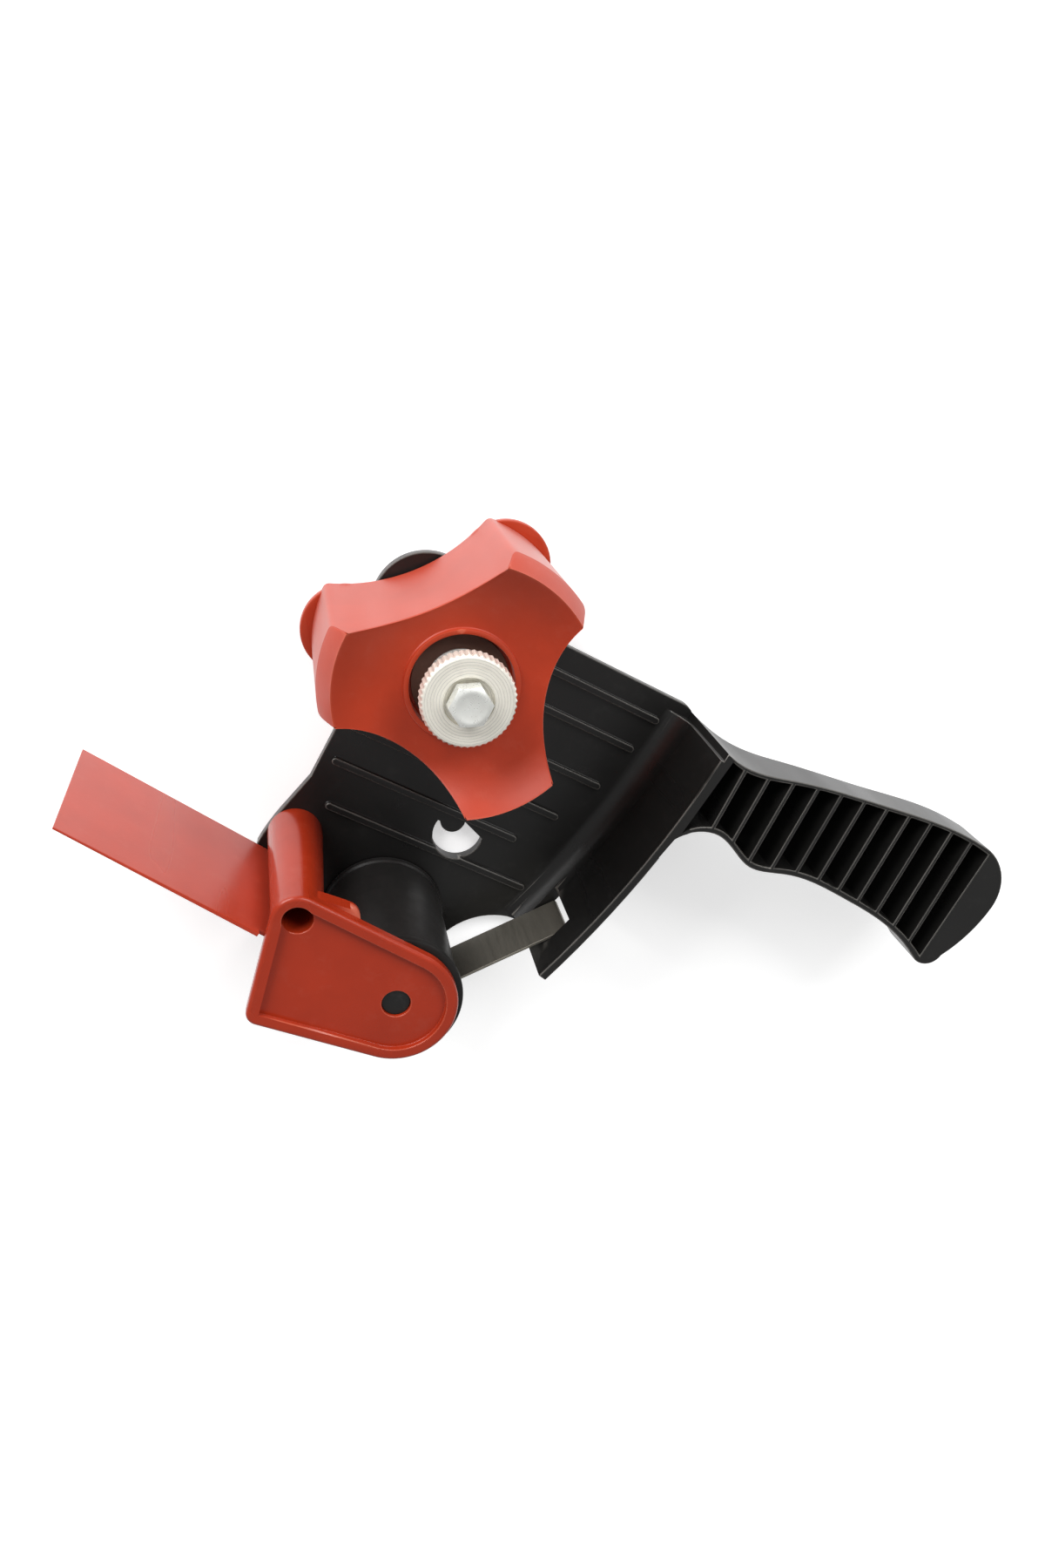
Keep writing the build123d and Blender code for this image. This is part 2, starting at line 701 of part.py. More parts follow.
# Steel pin that the flap's bead turns on
with BuildPart() as flap_pin:
    with BuildSketch(Plane.XY.offset(pin_low)):
        with Locations(flap_pivot):
            Circle(pin_radius)
    extrude(amount=pin_high - pin_low)

flap_pin.part.label = "flap_pin"
export_step(flap_pin.part, "parts/flap_pin.step")

# Cutting blade with a row of teeth along its free edge
with BuildPart() as cutting_blade:
    with BuildSketch(blade_plane):
        half = blade_length / 2
        pitch = blade_length / blade_teeth
        edge = [(half, blade_root)]
        for tooth in range(blade_teeth):
            edge.append((half - (tooth + 0.5) * pitch, blade_tip))
            edge.append((half - (tooth + 1) * pitch, blade_root))
        with BuildLine():
            Polyline((-half, blade_top), (half, blade_top), *edge, (-half, blade_top))
        make_face()
        with Locations((0, blade_screw_rise)):
            with GridLocations(blade_screw_spacing, 0, 2, 1):
                Circle(blade_screw_radius + 0.1, mode=Mode.SUBTRACT)
    extrude(amount=blade_thickness)

cutting_blade.part.label = "cutting_blade"
export_step(cutting_blade.part, "parts/cutting_blade.step")

# Two screws through the blade into the foot bar
with BuildPart() as blade_screws:
    with BuildSketch(blade_plane.offset(blade_thickness)):
        with Locations((0, blade_screw_rise)):
            with GridLocations(blade_screw_spacing, 0, 2, 1):
                Circle(blade_screw_head)
    extrude(amount=1.5)
    chamfer(blade_screws.faces().sort_by(Axis(origin=(0, 0, 0), direction=blade_front))[-2:].edges(),
            length=0.5)
    with BuildSketch(blade_plane.offset(blade_thickness)):
        with Locations((0, blade_screw_rise)):
            with GridLocations(blade_screw_spacing, 0, 2, 1):
                Circle(blade_screw_radius)
    extrude(amount=-blade_thickness - blade_screw_depth)
    with BuildSketch(blade_plane.offset(blade_thickness + 0.7)):
        with Locations((0, blade_screw_rise)):
            with GridLocations(blade_screw_spacing, 0, 2, 1):
                Rectangle(3.4, 0.8)
                Rectangle(0.8, 3.4)
    extrude(amount=2, mode=Mode.SUBTRACT)

blade_screws.part.label = "blade_screws"
export_step(blade_screws.part, "parts/blade_screws.step")

# Steel tongue: leaf tangent to the roller, folded over the rear wall
with BuildPart() as tape_tongue:
    with BuildSketch(Plane.XY.offset(tongue_low)):
        with BuildLine():
            FilletPolyline(tongue_tip, tongue_fold, tail_end, radius=tongue_fold_radius)
        trace(line_width=tongue_thickness)
    extrude(amount=tongue_high - tongue_low)
    for level in rivet_levels:
        with BuildSketch(Plane(rivet_spot(level), z_dir=wall_normal)):
            Circle(rivet_radius)
        extrude(amount=4, mode=Mode.SUBTRACT)

tape_tongue.part.label = "tape_tongue"
export_step(tape_tongue.part, "parts/tape_tongue.step")

# Rivets through the wall and the tail of the tongue
with BuildPart() as tongue_rivets:
    for level in rivet_levels:
        with BuildSketch(Plane(rivet_spot(level), z_dir=wall_normal).offset(-wall_thickness / 2)):
            Circle(rivet_radius)
        extrude(amount=wall_thickness + tongue_thickness + 0.3)
        with BuildSketch(Plane(rivet_spot(level), z_dir=wall_normal).offset(rivet_seat)):
            Circle(rivet_head_radius)
        extrude(amount=1.0)

tongue_rivets.part.label = "tongue_rivets"
export_step(tongue_rivets.part, "parts/tongue_rivets.step")
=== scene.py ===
"""Looks of a hand-held packing tape dispenser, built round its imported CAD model.

The tool lies on the outer face of its side plate. Z is the hub's axis, X runs back
along the handle and Y points to the side that is on top in use. The sizes of the
sub-assemblies are millimetres; Blender, the finishes and the studio work in metres.
"""

from __future__ import annotations

import json
import logging
import math
from dataclasses import dataclass, field
from enum import Enum
from typing import Any, ClassVar

import bmesh
import bpy
from mathutils import Matrix, Vector
from mathutils.bvhtree import BVHTree
from mathutils.geometry import intersect_point_line

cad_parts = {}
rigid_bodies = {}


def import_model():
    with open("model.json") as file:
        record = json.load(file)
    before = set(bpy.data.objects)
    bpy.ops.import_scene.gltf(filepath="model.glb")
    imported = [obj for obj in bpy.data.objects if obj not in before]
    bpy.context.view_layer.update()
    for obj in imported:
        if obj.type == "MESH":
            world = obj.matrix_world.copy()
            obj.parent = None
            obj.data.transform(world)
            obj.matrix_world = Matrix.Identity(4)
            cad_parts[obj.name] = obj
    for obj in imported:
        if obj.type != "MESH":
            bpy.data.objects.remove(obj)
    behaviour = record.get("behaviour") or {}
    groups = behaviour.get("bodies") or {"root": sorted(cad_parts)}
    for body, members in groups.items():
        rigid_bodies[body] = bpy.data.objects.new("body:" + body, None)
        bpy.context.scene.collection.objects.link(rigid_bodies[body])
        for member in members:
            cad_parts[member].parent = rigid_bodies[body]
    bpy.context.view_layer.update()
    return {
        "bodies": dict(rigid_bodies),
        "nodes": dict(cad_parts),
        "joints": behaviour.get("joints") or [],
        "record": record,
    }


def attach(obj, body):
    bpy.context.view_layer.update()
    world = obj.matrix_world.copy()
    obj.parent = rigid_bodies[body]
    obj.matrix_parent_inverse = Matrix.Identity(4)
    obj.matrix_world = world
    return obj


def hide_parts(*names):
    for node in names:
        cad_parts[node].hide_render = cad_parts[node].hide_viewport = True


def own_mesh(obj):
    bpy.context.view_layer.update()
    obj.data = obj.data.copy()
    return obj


log = logging.getLogger("tape_dispenser")

Color = tuple[float, float, float]
Point = tuple[float, float, float]
Flat = tuple[float, float]
Frame = dict[str, Any]

MM = 0.001
WELD = 2e-6  # metres within which the points of a new piece are one
CAD_WELD = 1e-5  # metres within which the points of a CAD copy are one
LEVEL_ANGLE = 0.6  # degrees between facets of a CAD copy that are one face
SMOOTH_ANGLE = 34.0  # degrees between faces that shade as one
SHARP_ANGLE = 32.0  # degrees at which an edge is sharp enough to be broken
PAST = 1.0  # millimetres by which a cutter stands out of what it cuts
BEVEL_WEIGHT = "bevel_weight_edge"

# The rounded edges of a moulding, as steps of inset and height in millimetres
REAR_EDGE = ((0.4, 0.0), (0.1, 0.1), (0.0, 0.4))
FRONT_EDGE = ((0.0, 0.7), (0.06, 0.32), (0.22, 0.06))
EAR_EDGE = ((0.0, 0.6), (0.18, 0.18), (0.6, 0.0))
KNURL = (1.0, 0.45, 0.0, 0.45)  # depth of one groove of the nut's rim, as shares


class Body(Enum):
    """The CAD bodies that pieces ride on."""

    TOOL = "tool"
    HUB = "hub"
    THRUST = "thrust"
    NUT = "nut"
    ROLLER = "roller"
    FLAP = "flap"


class Merge(Enum):
    """What one solid does to another."""

    CUT = "DIFFERENCE"
    JOIN = "UNION"


# Node graphs and finishes


class Graph:
    """A material's node tree, with short calls for the nodes that the finishes share."""

    def __init__(self, name: str) -> None:
        """Starts an empty material.

        Args:
            name: The material's name.
        """
        self.material = bpy.data.materials.new(name)
        self.material.use_nodes = True
        self.tree = self.material.node_tree
        self.tree.nodes.clear()
        self.output = self.tree.nodes.new("ShaderNodeOutputMaterial")
        self.shader = self.tree.nodes.new("ShaderNodeBsdfPrincipled")
        self.join(self.shader.outputs["BSDF"], self.output.inputs["Surface"])
        self.coords = self.tree.nodes.new("ShaderNodeTexCoord").outputs["Object"]

    def join(self, start: bpy.types.NodeSocket, end: bpy.types.NodeSocket) -> None:
        """Links two sockets."""
        self.tree.links.new(start, end)

    def feed(self, socket: bpy.types.NodeSocket, value: Any) -> None:
        """Links an input to another node's socket, or sets a constant on it."""
        if isinstance(value, bpy.types.NodeSocket):
            self.join(value, socket)
        else:
            socket.default_value = (*value, 1.0) if socket.type == "RGBA" else value

    def give(self, name: str, value: bpy.types.NodeSocket | float | Color) -> None:
        """Feeds the shader's input of that name."""
        self.feed(self.shader.inputs[name], value)

    def add(self, kind: str, values: dict[str | int, Any], **options: str) -> bpy.types.Node:
        """Adds a node.

        Args:
            kind: Its type.
            values: What its inputs are fed with, by name or place.
            options: Its own settings.

        Returns:
            The node.
        """
        node = self.tree.nodes.new(kind)
        for name, value in options.items():
            setattr(node, name, value)
        for key, value in values.items():
            self.feed(node.inputs[key], value)
        return node

    def stretch(self, scale: Point, centre: Point = (0, 0, 0)) -> bpy.types.NodeSocket:
        """Object coordinates counted from a centre, and scaled.

        Args:
            scale: Scale along each axis.
            centre: The point that becomes the origin, in metres.

        Returns:
            The vector socket.
        """
        shift = [-c * s for c, s in zip(centre, scale)]
        return self.add("ShaderNodeMapping", {
            "Scale": scale, "Location": shift, "Vector": self.coords,
        }).outputs["Vector"]

    def noise(
        self, scale: float, detail: float = 3.0, rough: float = 0.5,
        vector: bpy.types.NodeSocket | None = None,
    ) -> bpy.types.NodeSocket:
        """Noise on object coordinates.

        Args:
            scale: Waves per metre.
            detail: Octaves.
            rough: Strength of the finer octaves.
            vector: Coordinates, where they aren't the plain ones.

        Returns:
            The value socket.
        """
        return self.add("ShaderNodeTexNoise", {
            "Scale": scale, "Detail": detail, "Roughness": rough,
            "Vector": vector or self.coords,
        }).outputs["Fac"]

    def rings(self, scale: float, centre: Point, wobble: float) -> bpy.types.NodeSocket:
        """Turning marks: fine rings about an axis along Z.

        Args:
            scale: Rings per metre.
            centre: A point on the axis, in metres.
            wobble: How uneven the rings are.

        Returns:
            The value socket.
        """
        return self.add("ShaderNodeTexWave", {
            "Scale": scale, "Distortion": wobble, "Detail": 3.0,
            "Vector": self.stretch((1, 1, 1), centre),
        }, wave_type="RINGS", rings_direction="Z").outputs["Fac"]

    def ramp(
        self, value: bpy.types.NodeSocket, low: float, high: float,
        start: float = 0.0, end: float = 1.0,
    ) -> bpy.types.NodeSocket:
        """Value mapped from one range to another, and clamped.

        Args:
            value: The socket to map.
            low: Value that gives start.
            high: Value that gives end.
            start: Result at low.
            end: Result at high.

        Returns:
            The mapped socket.
        """
        return self.add("ShaderNodeMapRange", {
            "From Min": low, "From Max": high, "To Min": start, "To Max": end, "Value": value,
        }).outputs["Result"]

    def mix(
        self, factor: bpy.types.NodeSocket, first: Color | bpy.types.NodeSocket,
        second: Color,
    ) -> bpy.types.NodeSocket:
        """Colour between two colours.

        Args:
            factor: Share of the second.
            first: A colour, or a socket that gives one.
            second: The other colour.

        Returns:
            The colour socket.
        """
        return self.add("ShaderNodeMix", {
            "Factor": factor, "A": first, "B": second,
        }, data_type="RGBA").outputs["Result"]

    def bump(
        self, height: bpy.types.NodeSocket, depth: float, strength: float,
        under: bpy.types.NodeSocket | None = None,
    ) -> bpy.types.NodeSocket:
        """Bump from a height.

        Args:
            height: The height socket, from 0 to 1.
            depth: Depth of the relief in metres.
            strength: Strength from 0 to 1.
            under: Normal of a coarser bump below this one.

        Returns:
            The normal socket.
        """
        values = {"Distance": depth, "Strength": strength, "Height": height}
        if under is not None:
            values["Normal"] = under
        return self.add("ShaderNodeBump", values).outputs["Normal"]

    def edge_wear_and_highlight(self, broken: bool) -> bpy.types.NodeSocket:
        """Share of rubbing and painted highlight on raised edges.

        Args:
            broken: Whether the edges are narrow bevels between broad faces. There the
                shading normal leans away from the facet's own, and nowhere else.

        Returns:
            The value socket.
        """
        here = self.add("ShaderNodeNewGeometry", {}).outputs
        raised = here["Pointiness"]  # 0.5 is flat, more is an outer edge
        if not broken:
            return self.ramp(raised, 0.53, 0.62)
        upright = self.add(
            "ShaderNodeVectorMath", {0: here["Normal"], 1: here["True Normal"]},
            operation="DOT_PRODUCT").outputs["Value"]
        return self.add(
            "ShaderNodeMath", {0: self.ramp(upright, 0.99, 0.95), 1: self.ramp(raised, 0.5, 0.52)},
            operation="MULTIPLY").outputs["Value"]


def shade(color: Color, factor: float) -> Color:
    """A colour made lighter or darker by a factor."""
    return tuple(min(1.0, channel * factor) for channel in color)


@dataclass(frozen=True)
class MouldedPlastic:
    """Injection-moulded plastic: spark-eroded grain, flow marks, rubbed edges lightened with a
    painted highlight, and dust.
    """

    name: str
    slot: str
    color: Color
    roughness: float = 0.40
    grain: float = 2600.0
    depth: float = 0.00004
    spread: float = 0.10
    bloom: Color = (0.5, 0.48, 0.45)
    bloom_share: float = 0.05
    rub: Color = (0.5, 0.48, 0.45)
    edge_rub_and_highlight_share: float = 0.0
    broken_edges: bool = True
    sheen: float = 0.0
    specular: float = 0.5
    cloud_scale: float = 38.0
    dust_scale: float = 160.0
    streak_scale: float = 60.0
    streak_stretch: Point = (1.0, 1.0, 0.12)

    def build(self) -> bpy.types.Material:
        """Makes the material."""
        g = Graph(self.name)
        cloud = g.noise(self.cloud_scale, 4.0, 0.6)
        base = g.mix(g.ramp(cloud, 0.3, 0.7), shade(self.color, 1 - self.spread),
                     shade(self.color, 1 + self.spread))
        dust = g.ramp(g.noise(self.dust_scale, 5.0, 0.7), 0.55, 0.85, 0.0, self.bloom_share)
        base = g.mix(dust, base, self.bloom)
        # painted highlight: raised edges are lightened towards a paler colour, standing in for
        # wear and for the light their rounding catches
        if self.edge_rub_and_highlight_share:
            rubbed_and_highlit = g.ramp(g.edge_wear_and_highlight(self.broken_edges), 0.0, 1.0, 0.0, self.edge_rub_and_highlight_share)
            base = g.mix(rubbed_and_highlit, base, self.rub)
        g.give("Base Color", base)
        streak = g.noise(self.streak_scale, 2.0, 0.5, g.stretch(self.streak_stretch))
        g.give("Roughness", g.ramp(streak, 0.3, 0.7, self.roughness - 0.05,
                                   self.roughness + 0.07))
        g.give("Normal", g.bump(g.noise(self.grain, 2.0, 0.6), self.depth, 0.45))
        g.give("Specular IOR Level", self.specular)
        if self.sheen:
            g.give("Sheen Weight", self.sheen)
            g.give("Sheen Roughness", 0.35)
        return g.material


@dataclass(frozen=True)
class Rubber:
    """Black rubber with fine pores and a dusty bloom."""

    name: str
    slot: str
    color: Color = (0.009, 0.0085, 0.008)
    bloom: Color = (0.07, 0.066, 0.062)
    bloom_share: float = 0.08
    bloom_scale: float = 220.0
    smoothest: float = 0.36
    roughest: float = 0.5
    patch_scale: float = 120.0
    pore_scale: float = 1900.0
    pore_depth: float = 0.00005
    specular: float = 0.28
    sheen: float = 0.03

    def build(self) -> bpy.types.Material:
        """Makes the material."""
        g = Graph(self.name)
        dust = g.ramp(g.noise(self.bloom_scale, 5.0, 0.7), 0.45, 0.8, 0.0, self.bloom_share)
        g.give("Base Color", g.mix(dust, self.color, self.bloom))
        patches = g.noise(self.patch_scale, 3.0)
        g.give("Roughness", g.ramp(patches, 0.3, 0.7, self.smoothest, self.roughest))
        pores = g.noise(self.pore_scale, 3.0, 0.7)
        g.give("Normal", g.bump(pores, self.pore_depth, 0.5))
        g.give("Specular IOR Level", self.specular)
        g.give("Sheen Weight", self.sheen)
        g.give("Sheen Roughness", 0.5)
        return g.material


@dataclass(frozen=True)
class Metal:
    """Bare or plated metal with grinding lines, faint stains and scratches."""

    name: str
    slot: str
    color: Color
    roughness: float = 0.3
    lines: Point = (1.0, 1.0, 1.0)
    line_scale: float = 900.0
    stain: Color = (0.3, 0.27, 0.23)
    stain_share: float = 0.25
    stain_scale: float = 130.0
    depth: float = 0.00002
    metallic: float = 1.0

    def build(self) -> bpy.types.Material:
        """Makes the material."""
        g = Graph(self.name)
        spots = g.noise(self.stain_scale, 5.0, 0.65)
        stain = g.ramp(spots, 0.48, 0.78, 0.0, self.stain_share)
        g.give("Base Color", g.mix(stain, self.color, self.stain))
        g.give("Metallic", self.metallic)
        drawn = g.noise(self.line_scale, 2.0, 0.6, g.stretch(self.lines))
        g.give("Roughness", g.ramp(drawn, 0.3, 0.7, self.roughness - 0.06,
                                   self.roughness + 0.1))
        g.give("Normal", g.bump(drawn, self.depth, 0.5))
        return g.material


@dataclass(frozen=True)
class TurnedMetal:
    """Plated metal faced on a lathe: fine rings about one axis, with a few stains."""

    name: str
    slot: str
    color: Color
    roughness: float = 0.3
    centre: Point = (0.0, 0.0, 0.0)
    rings: float = 420.0
    wobble: float = 1.2
    valley: float = 0.88
    stain: Color = (0.45, 0.42, 0.36)
    stain_share: float = 0.25
    stain_scale: float = 260.0
    pit_scale: float = 700.0
    pit_depth: float = 0.00003
    depth: float = 0.00002
    metallic: float = 0.45

    def build(self) -> bpy.types.Material:
        """Makes the material."""
        g = Graph(self.name)
        spots = g.noise(self.stain_scale, 5.0, 0.65)
        stain = g.ramp(spots, 0.5, 0.8, 0.0, self.stain_share)
        turned = g.rings(self.rings, self.centre, self.wobble)
        base = g.mix(turned, shade(self.color, self.valley), self.color)
        g.give("Base Color", g.mix(stain, base, self.stain))
        g.give("Metallic", self.metallic)
        g.give("Roughness", g.ramp(turned, 0.0, 1.0, self.roughness - 0.05,
                                   self.roughness + 0.08))
        pits = g.bump(g.noise(self.pit_scale, 4.0, 0.7), self.pit_depth, 0.4)
        g.give("Normal", g.bump(turned, self.depth, 0.6, pits))
        return g.material


# The pale edge colour on these plastics is partly rubbing and partly painted highlight on rib, rim
# and fillet edges
FRAME_PLASTIC = MouldedPlastic(
    "black_frame", "frame_plastic", (0.0085, 0.0082, 0.0078), 0.31, rub=(0.34, 0.32, 0.29),
    edge_rub_and_highlight_share=0.55, bloom_share=0.02, specular=0.42)
HUB_PLASTIC = MouldedPlastic(
    "red_hub", "hub_plastic", (0.41, 0.033, 0.007), 0.36, bloom=(0.75, 0.42, 0.33),
    bloom_share=0.04, rub=(0.72, 0.22, 0.13), edge_rub_and_highlight_share=0.3, broken_edges=False,
    sheen=0.12, specular=0.38)
BRACKET_PLASTIC = MouldedPlastic(
    "red_bracket", "bracket_plastic", (0.35, 0.027, 0.007), 0.24, bloom=(0.7, 0.36, 0.28),
    bloom_share=0.04, rub=(0.72, 0.2, 0.12), edge_rub_and_highlight_share=0.45, specular=0.37)
FLAP_PLASTIC = MouldedPlastic(
    "red_flap", "flap_plastic", (0.42, 0.034, 0.010), 0.32, bloom=(0.8, 0.45, 0.36),
    bloom_share=0.05, sheen=0.06, specular=0.48)
ROLLER_RUBBER = Rubber("roller_rubber", "roller_rubber")
ROLLER_PLASTIC = MouldedPlastic(
    "black_roller_core", "roller_plastic", (0.008, 0.0078, 0.0075), 0.42, specular=0.4)
NYLON = MouldedPlastic("natural_nylon", "nylon", (0.72, 0.7, 0.64), 0.45)
FIBRE = MouldedPlastic("pressed_fibre", "fibre", (0.09, 0.04, 0.025), 0.7)
STEEL = Metal("zinc_steel", "plain_steel", (0.84, 0.85, 0.81), 0.3, metallic=0.5)
SPRING_STEEL = Metal("spring_wire", "spring_steel", (0.5, 0.5, 0.49), 0.28)
BLADE_STEEL = Metal("blade_steel", "blade_steel", (0.6, 0.6, 0.59), 0.25, (1, 1, 0.05))
TONGUE_STEEL = Metal(
    "tongue_strip", "tongue_steel", (0.24, 0.225, 0.19), 0.4, (1, 1, 0.04), metallic=0.75)
NUT_PLATING = TurnedMetal("nut_plating", "nut_plating", (0.92, 0.885, 0.79), 0.32)

Finish = MouldedPlastic | Rubber | Metal | TurnedMetal


class Paint:
    """Builds each finish once and hands out its material."""

    made: ClassVar[dict[str, bpy.types.Material]] = {}

    @classmethod
    def of(cls, finish: Finish) -> bpy.types.Material:
        """The material of a finish."""
        if finish.name not in cls.made:
            cls.made[finish.name] = finish.build()
        return cls.made[finish.name]


# Modelling by operators


def alone(piece: bpy.types.Object) -> None:
    """Selects one object and makes it active."""
    bpy.ops.object.select_all(action="DESELECT")
    piece.select_set(True)
    bpy.context.view_layer.objects.active = piece


def circle(radius: float, height: float, count: int, centre: Flat = (0, 0)) -> list[Point]:
    """Points of a level circle.

    Args:
        radius: Its radius.
        height: Its height.
        count: How many points.
        centre: Its centre in plan.

    Returns:
        The points in millimetres.
    """
    return [
        (centre[0] + radius * math.cos(2 * math.pi * i / count),
         centre[1] + radius * math.sin(2 * math.pi * i / count), height)
        for i in range(count)
    ]


def skin(name: str, rings: list[list[Point]], looped: bool = False) -> bpy.types.Object:
    """A closed shell over rings of points, laid from a grid whose seam is merged.

    Args:
        name: The piece's name.
        rings: Rings of equal length, in millimetres. A ring of equal points is a pole.
        looped: Whether the last ring joins the first, as on a washer.

    Returns:
        The piece, with flat ends where it isn't looped.
    """
    rows = rings + rings[:1] if looped else rings
    bpy.ops.object.select_all(action="DESELECT")
    bpy.ops.mesh.primitive_grid_add(
        x_subdivisions=len(rows[0]), y_subdivisions=len(rows) - 1, size=MM, location=(0, 0, 0))
    piece = bpy.context.active_object
    piece.name = name
    flat = [c * MM for row in rows for point in (*row, row[0]) for c in point]
    if len(flat) != 3 * len(piece.data.vertices):
        raise ValueError(f"{name}: {len(flat) // 3} points for {len(piece.data.vertices)}")
    piece.data.vertices.foreach_set("co", flat)
    bpy.ops.object.mode_set(mode="EDIT")
    bpy.ops.mesh.select_all(action="SELECT")
    bpy.ops.mesh.remove_doubles(threshold=WELD)
    if not looped:
        bpy.ops.mesh.fill_holes(sides=0)
    bpy.ops.mesh.select_all(action="SELECT")
    bpy.ops.mesh.normals_make_consistent(inside=False)
    bpy.ops.object.mode_set(mode="OBJECT")
    return piece


def prism(name: str, outline: list[Flat], low: float, high: float) -> bpy.types.Object:
    """An upright solid on an outline, between two levels in millimetres."""
    return skin(name, [[(x, y, low) for x, y in outline], [(x, y, high) for x, y in outline]])


def combine(
    piece: bpy.types.Object, other: bpy.types.Object, how: Merge = Merge.CUT,
) -> None:
    """Cuts a piece with another or joins them, and uses the other up.

    Args:
        piece: The piece that is changed.
        other: The cutter, or what is joined on.
        how: Whether it cuts or joins.
    """
    alone(piece)
    merger = piece.modifiers.new("combine", "BOOLEAN")
    merger.operation = how.value
    merger.solver = "EXACT"
    merger.object = other
    bpy.ops.object.modifier_apply(modifier=merger.name)
    bpy.data.objects.remove(other)


def weigh_edges(piece: bpy.types.Object, width: float, angle: float) -> None:
    """Weights a piece's sharp edges by the room beside each, so that no bevel overlaps.

    Args:
        piece: The piece.
        width: Full width of the bevel in millimetres.
        angle: Edges sharper than this many degrees are bevelled.
    """
    side_share, own_share = 0.45, 0.9  # of a side edge, and of the edge's own length
    steepest = math.radians(160)  # the sharpest turn between two edges that is counted
    step, passes = 1.5, 3  # how much wider a bevel may be than the narrowest beside it
    least = 1e-3
    mesh = bmesh.new()
    mesh.from_mesh(piece.data)
    layer = mesh.edges.layers.float.new(BEVEL_WEIGHT)
    full = width * MM
    sharp = [
        edge for edge in mesh.edges
        if edge.is_manifold and edge.calc_face_angle() > math.radians(angle)
    ]
    chosen = set(sharp)
    for edge in sharp:
        room, squeeze = full, 0.0
        for vert in edge.verts:
            along = (edge.other_vert(vert).co - vert.co).normalized()
            turn = 0.0
            for other in vert.link_edges:
                reach = other.other_vert(vert).co - vert.co
                if other in chosen and other != edge:
                    turn = max(turn, along.angle(-reach))
                elif other not in chosen:
                    room = min(room, side_share * reach.length)
            squeeze += math.tan(min(turn, steepest) / 2)
        edge[layer] = min(room, own_share * edge.calc_length() / max(squeeze, least)) / full
    for _ in range(passes):
        for edge in sharp:
            beside = [o[layer] for v in edge.verts for o in v.link_edges if o in chosen]
            edge[layer] = min(edge[layer], step * min(beside))
    mesh.to_mesh(piece.data)
    mesh.free()


def tangles(piece: bpy.types.Object) -> list[Vector]:
    """Places where a piece's surface runs through itself, one for each millimetre cube."""
    mesh = bmesh.new()
    mesh.from_mesh(piece.data)
    bmesh.ops.triangulate(mesh, faces=mesh.faces[:])
    mesh.faces.ensure_lookup_table()
    tree = BVHTree.FromBMesh(mesh, epsilon=0.0)
    spots: dict[Point, Vector] = {}
    for first, second in tree.overlap(tree):
        one, two = mesh.faces[first], mesh.faces[second]
        if first < second and not set(one.verts) & set(two.verts):
            small = one if one.calc_area() < two.calc_area() else two
            spot = small.calc_center_median()
            spots.setdefault(tuple(round(c / MM) for c in spot), spot)
    mesh.free()
    return list(spots.values())


def leave_sharp(mesh: bpy.types.Mesh, spots: list[Vector], reach: float = 1.0) -> None:
    """Takes the bevel off the edges that pass near some places.

    Args:
        mesh: The mesh whose edges bear bevel weights.
        spots: The places, in metres.
        reach: How near an edge has to pass, in millimetres.
    """
    for weight, edge in zip(mesh.attributes[BEVEL_WEIGHT].data, mesh.edges):
        if not weight.value:
            continue
        start, end = (mesh.vertices[i].co for i in edge.vertices)
        for spot in spots:
            share = intersect_point_line(spot, start, end)[1]
            near = start.lerp(end, min(max(share, 0.0), 1.0))
            if (near - spot).length < reach * MM:
                weight.value = 0.0
                break


def break_edges(
    piece: bpy.types.Object, width: float = 0.0, angle: float = SHARP_ANGLE,
    segments: int = 2,
) -> None:
    """Rounds a piece's sharp edges and weights its normals to the broad faces.

    The bevel is made again, each time with the edges near a tangle left sharp, until
    the surface no longer runs through itself.

    Args:
        piece: The piece.
        width: Width of the rounding in millimetres; 0 leaves the edges as they are.
        angle: Edges sharper than this many degrees are rounded.
        segments: Faces across the rounding.
    """
    alone(piece)
    tries = 5
    if width:
        weigh_edges(piece, width, angle)
        unbroken = piece.data
        for _ in range(tries):
            piece.data = unbroken.copy()
            bevel = piece.modifiers.new("broken_edges", "BEVEL")
            bevel.width = width * MM
            bevel.segments = segments
            bevel.limit_method = "WEIGHT"
            bevel.use_clamp_overlap = False
            bpy.ops.object.modifier_apply(modifier=bevel.name)
            spots = tangles(piece)
            if not spots:
                break
            leave_sharp(unbroken, spots)
    bpy.ops.object.shade_smooth_by_angle(angle=math.radians(SMOOTH_ANGLE))
    weighted = piece.modifiers.new("broad_faces", "WEIGHTED_NORMAL")
    weighted.weight = 100
    weighted.keep_sharp = True
    bpy.ops.object.modifier_apply(modifier=weighted.name)


def place(piece: bpy.types.Object, finish: Finish, body: Body, node: str) -> None:
    """Dresses a finished piece, seats it on its body and lets it stand for a CAD node.

    Args:
        piece: The piece.
        finish: Its finish all over.
        body: The body it rides on.
        node: The CAD node that it stands for.
    """
    piece.data.materials.clear()
    piece.data.materials.append(Paint.of(finish))
    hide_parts(node)
    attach(piece, body.value)
    log.info("%s: %d faces", piece.name, len(piece.data.polygons))


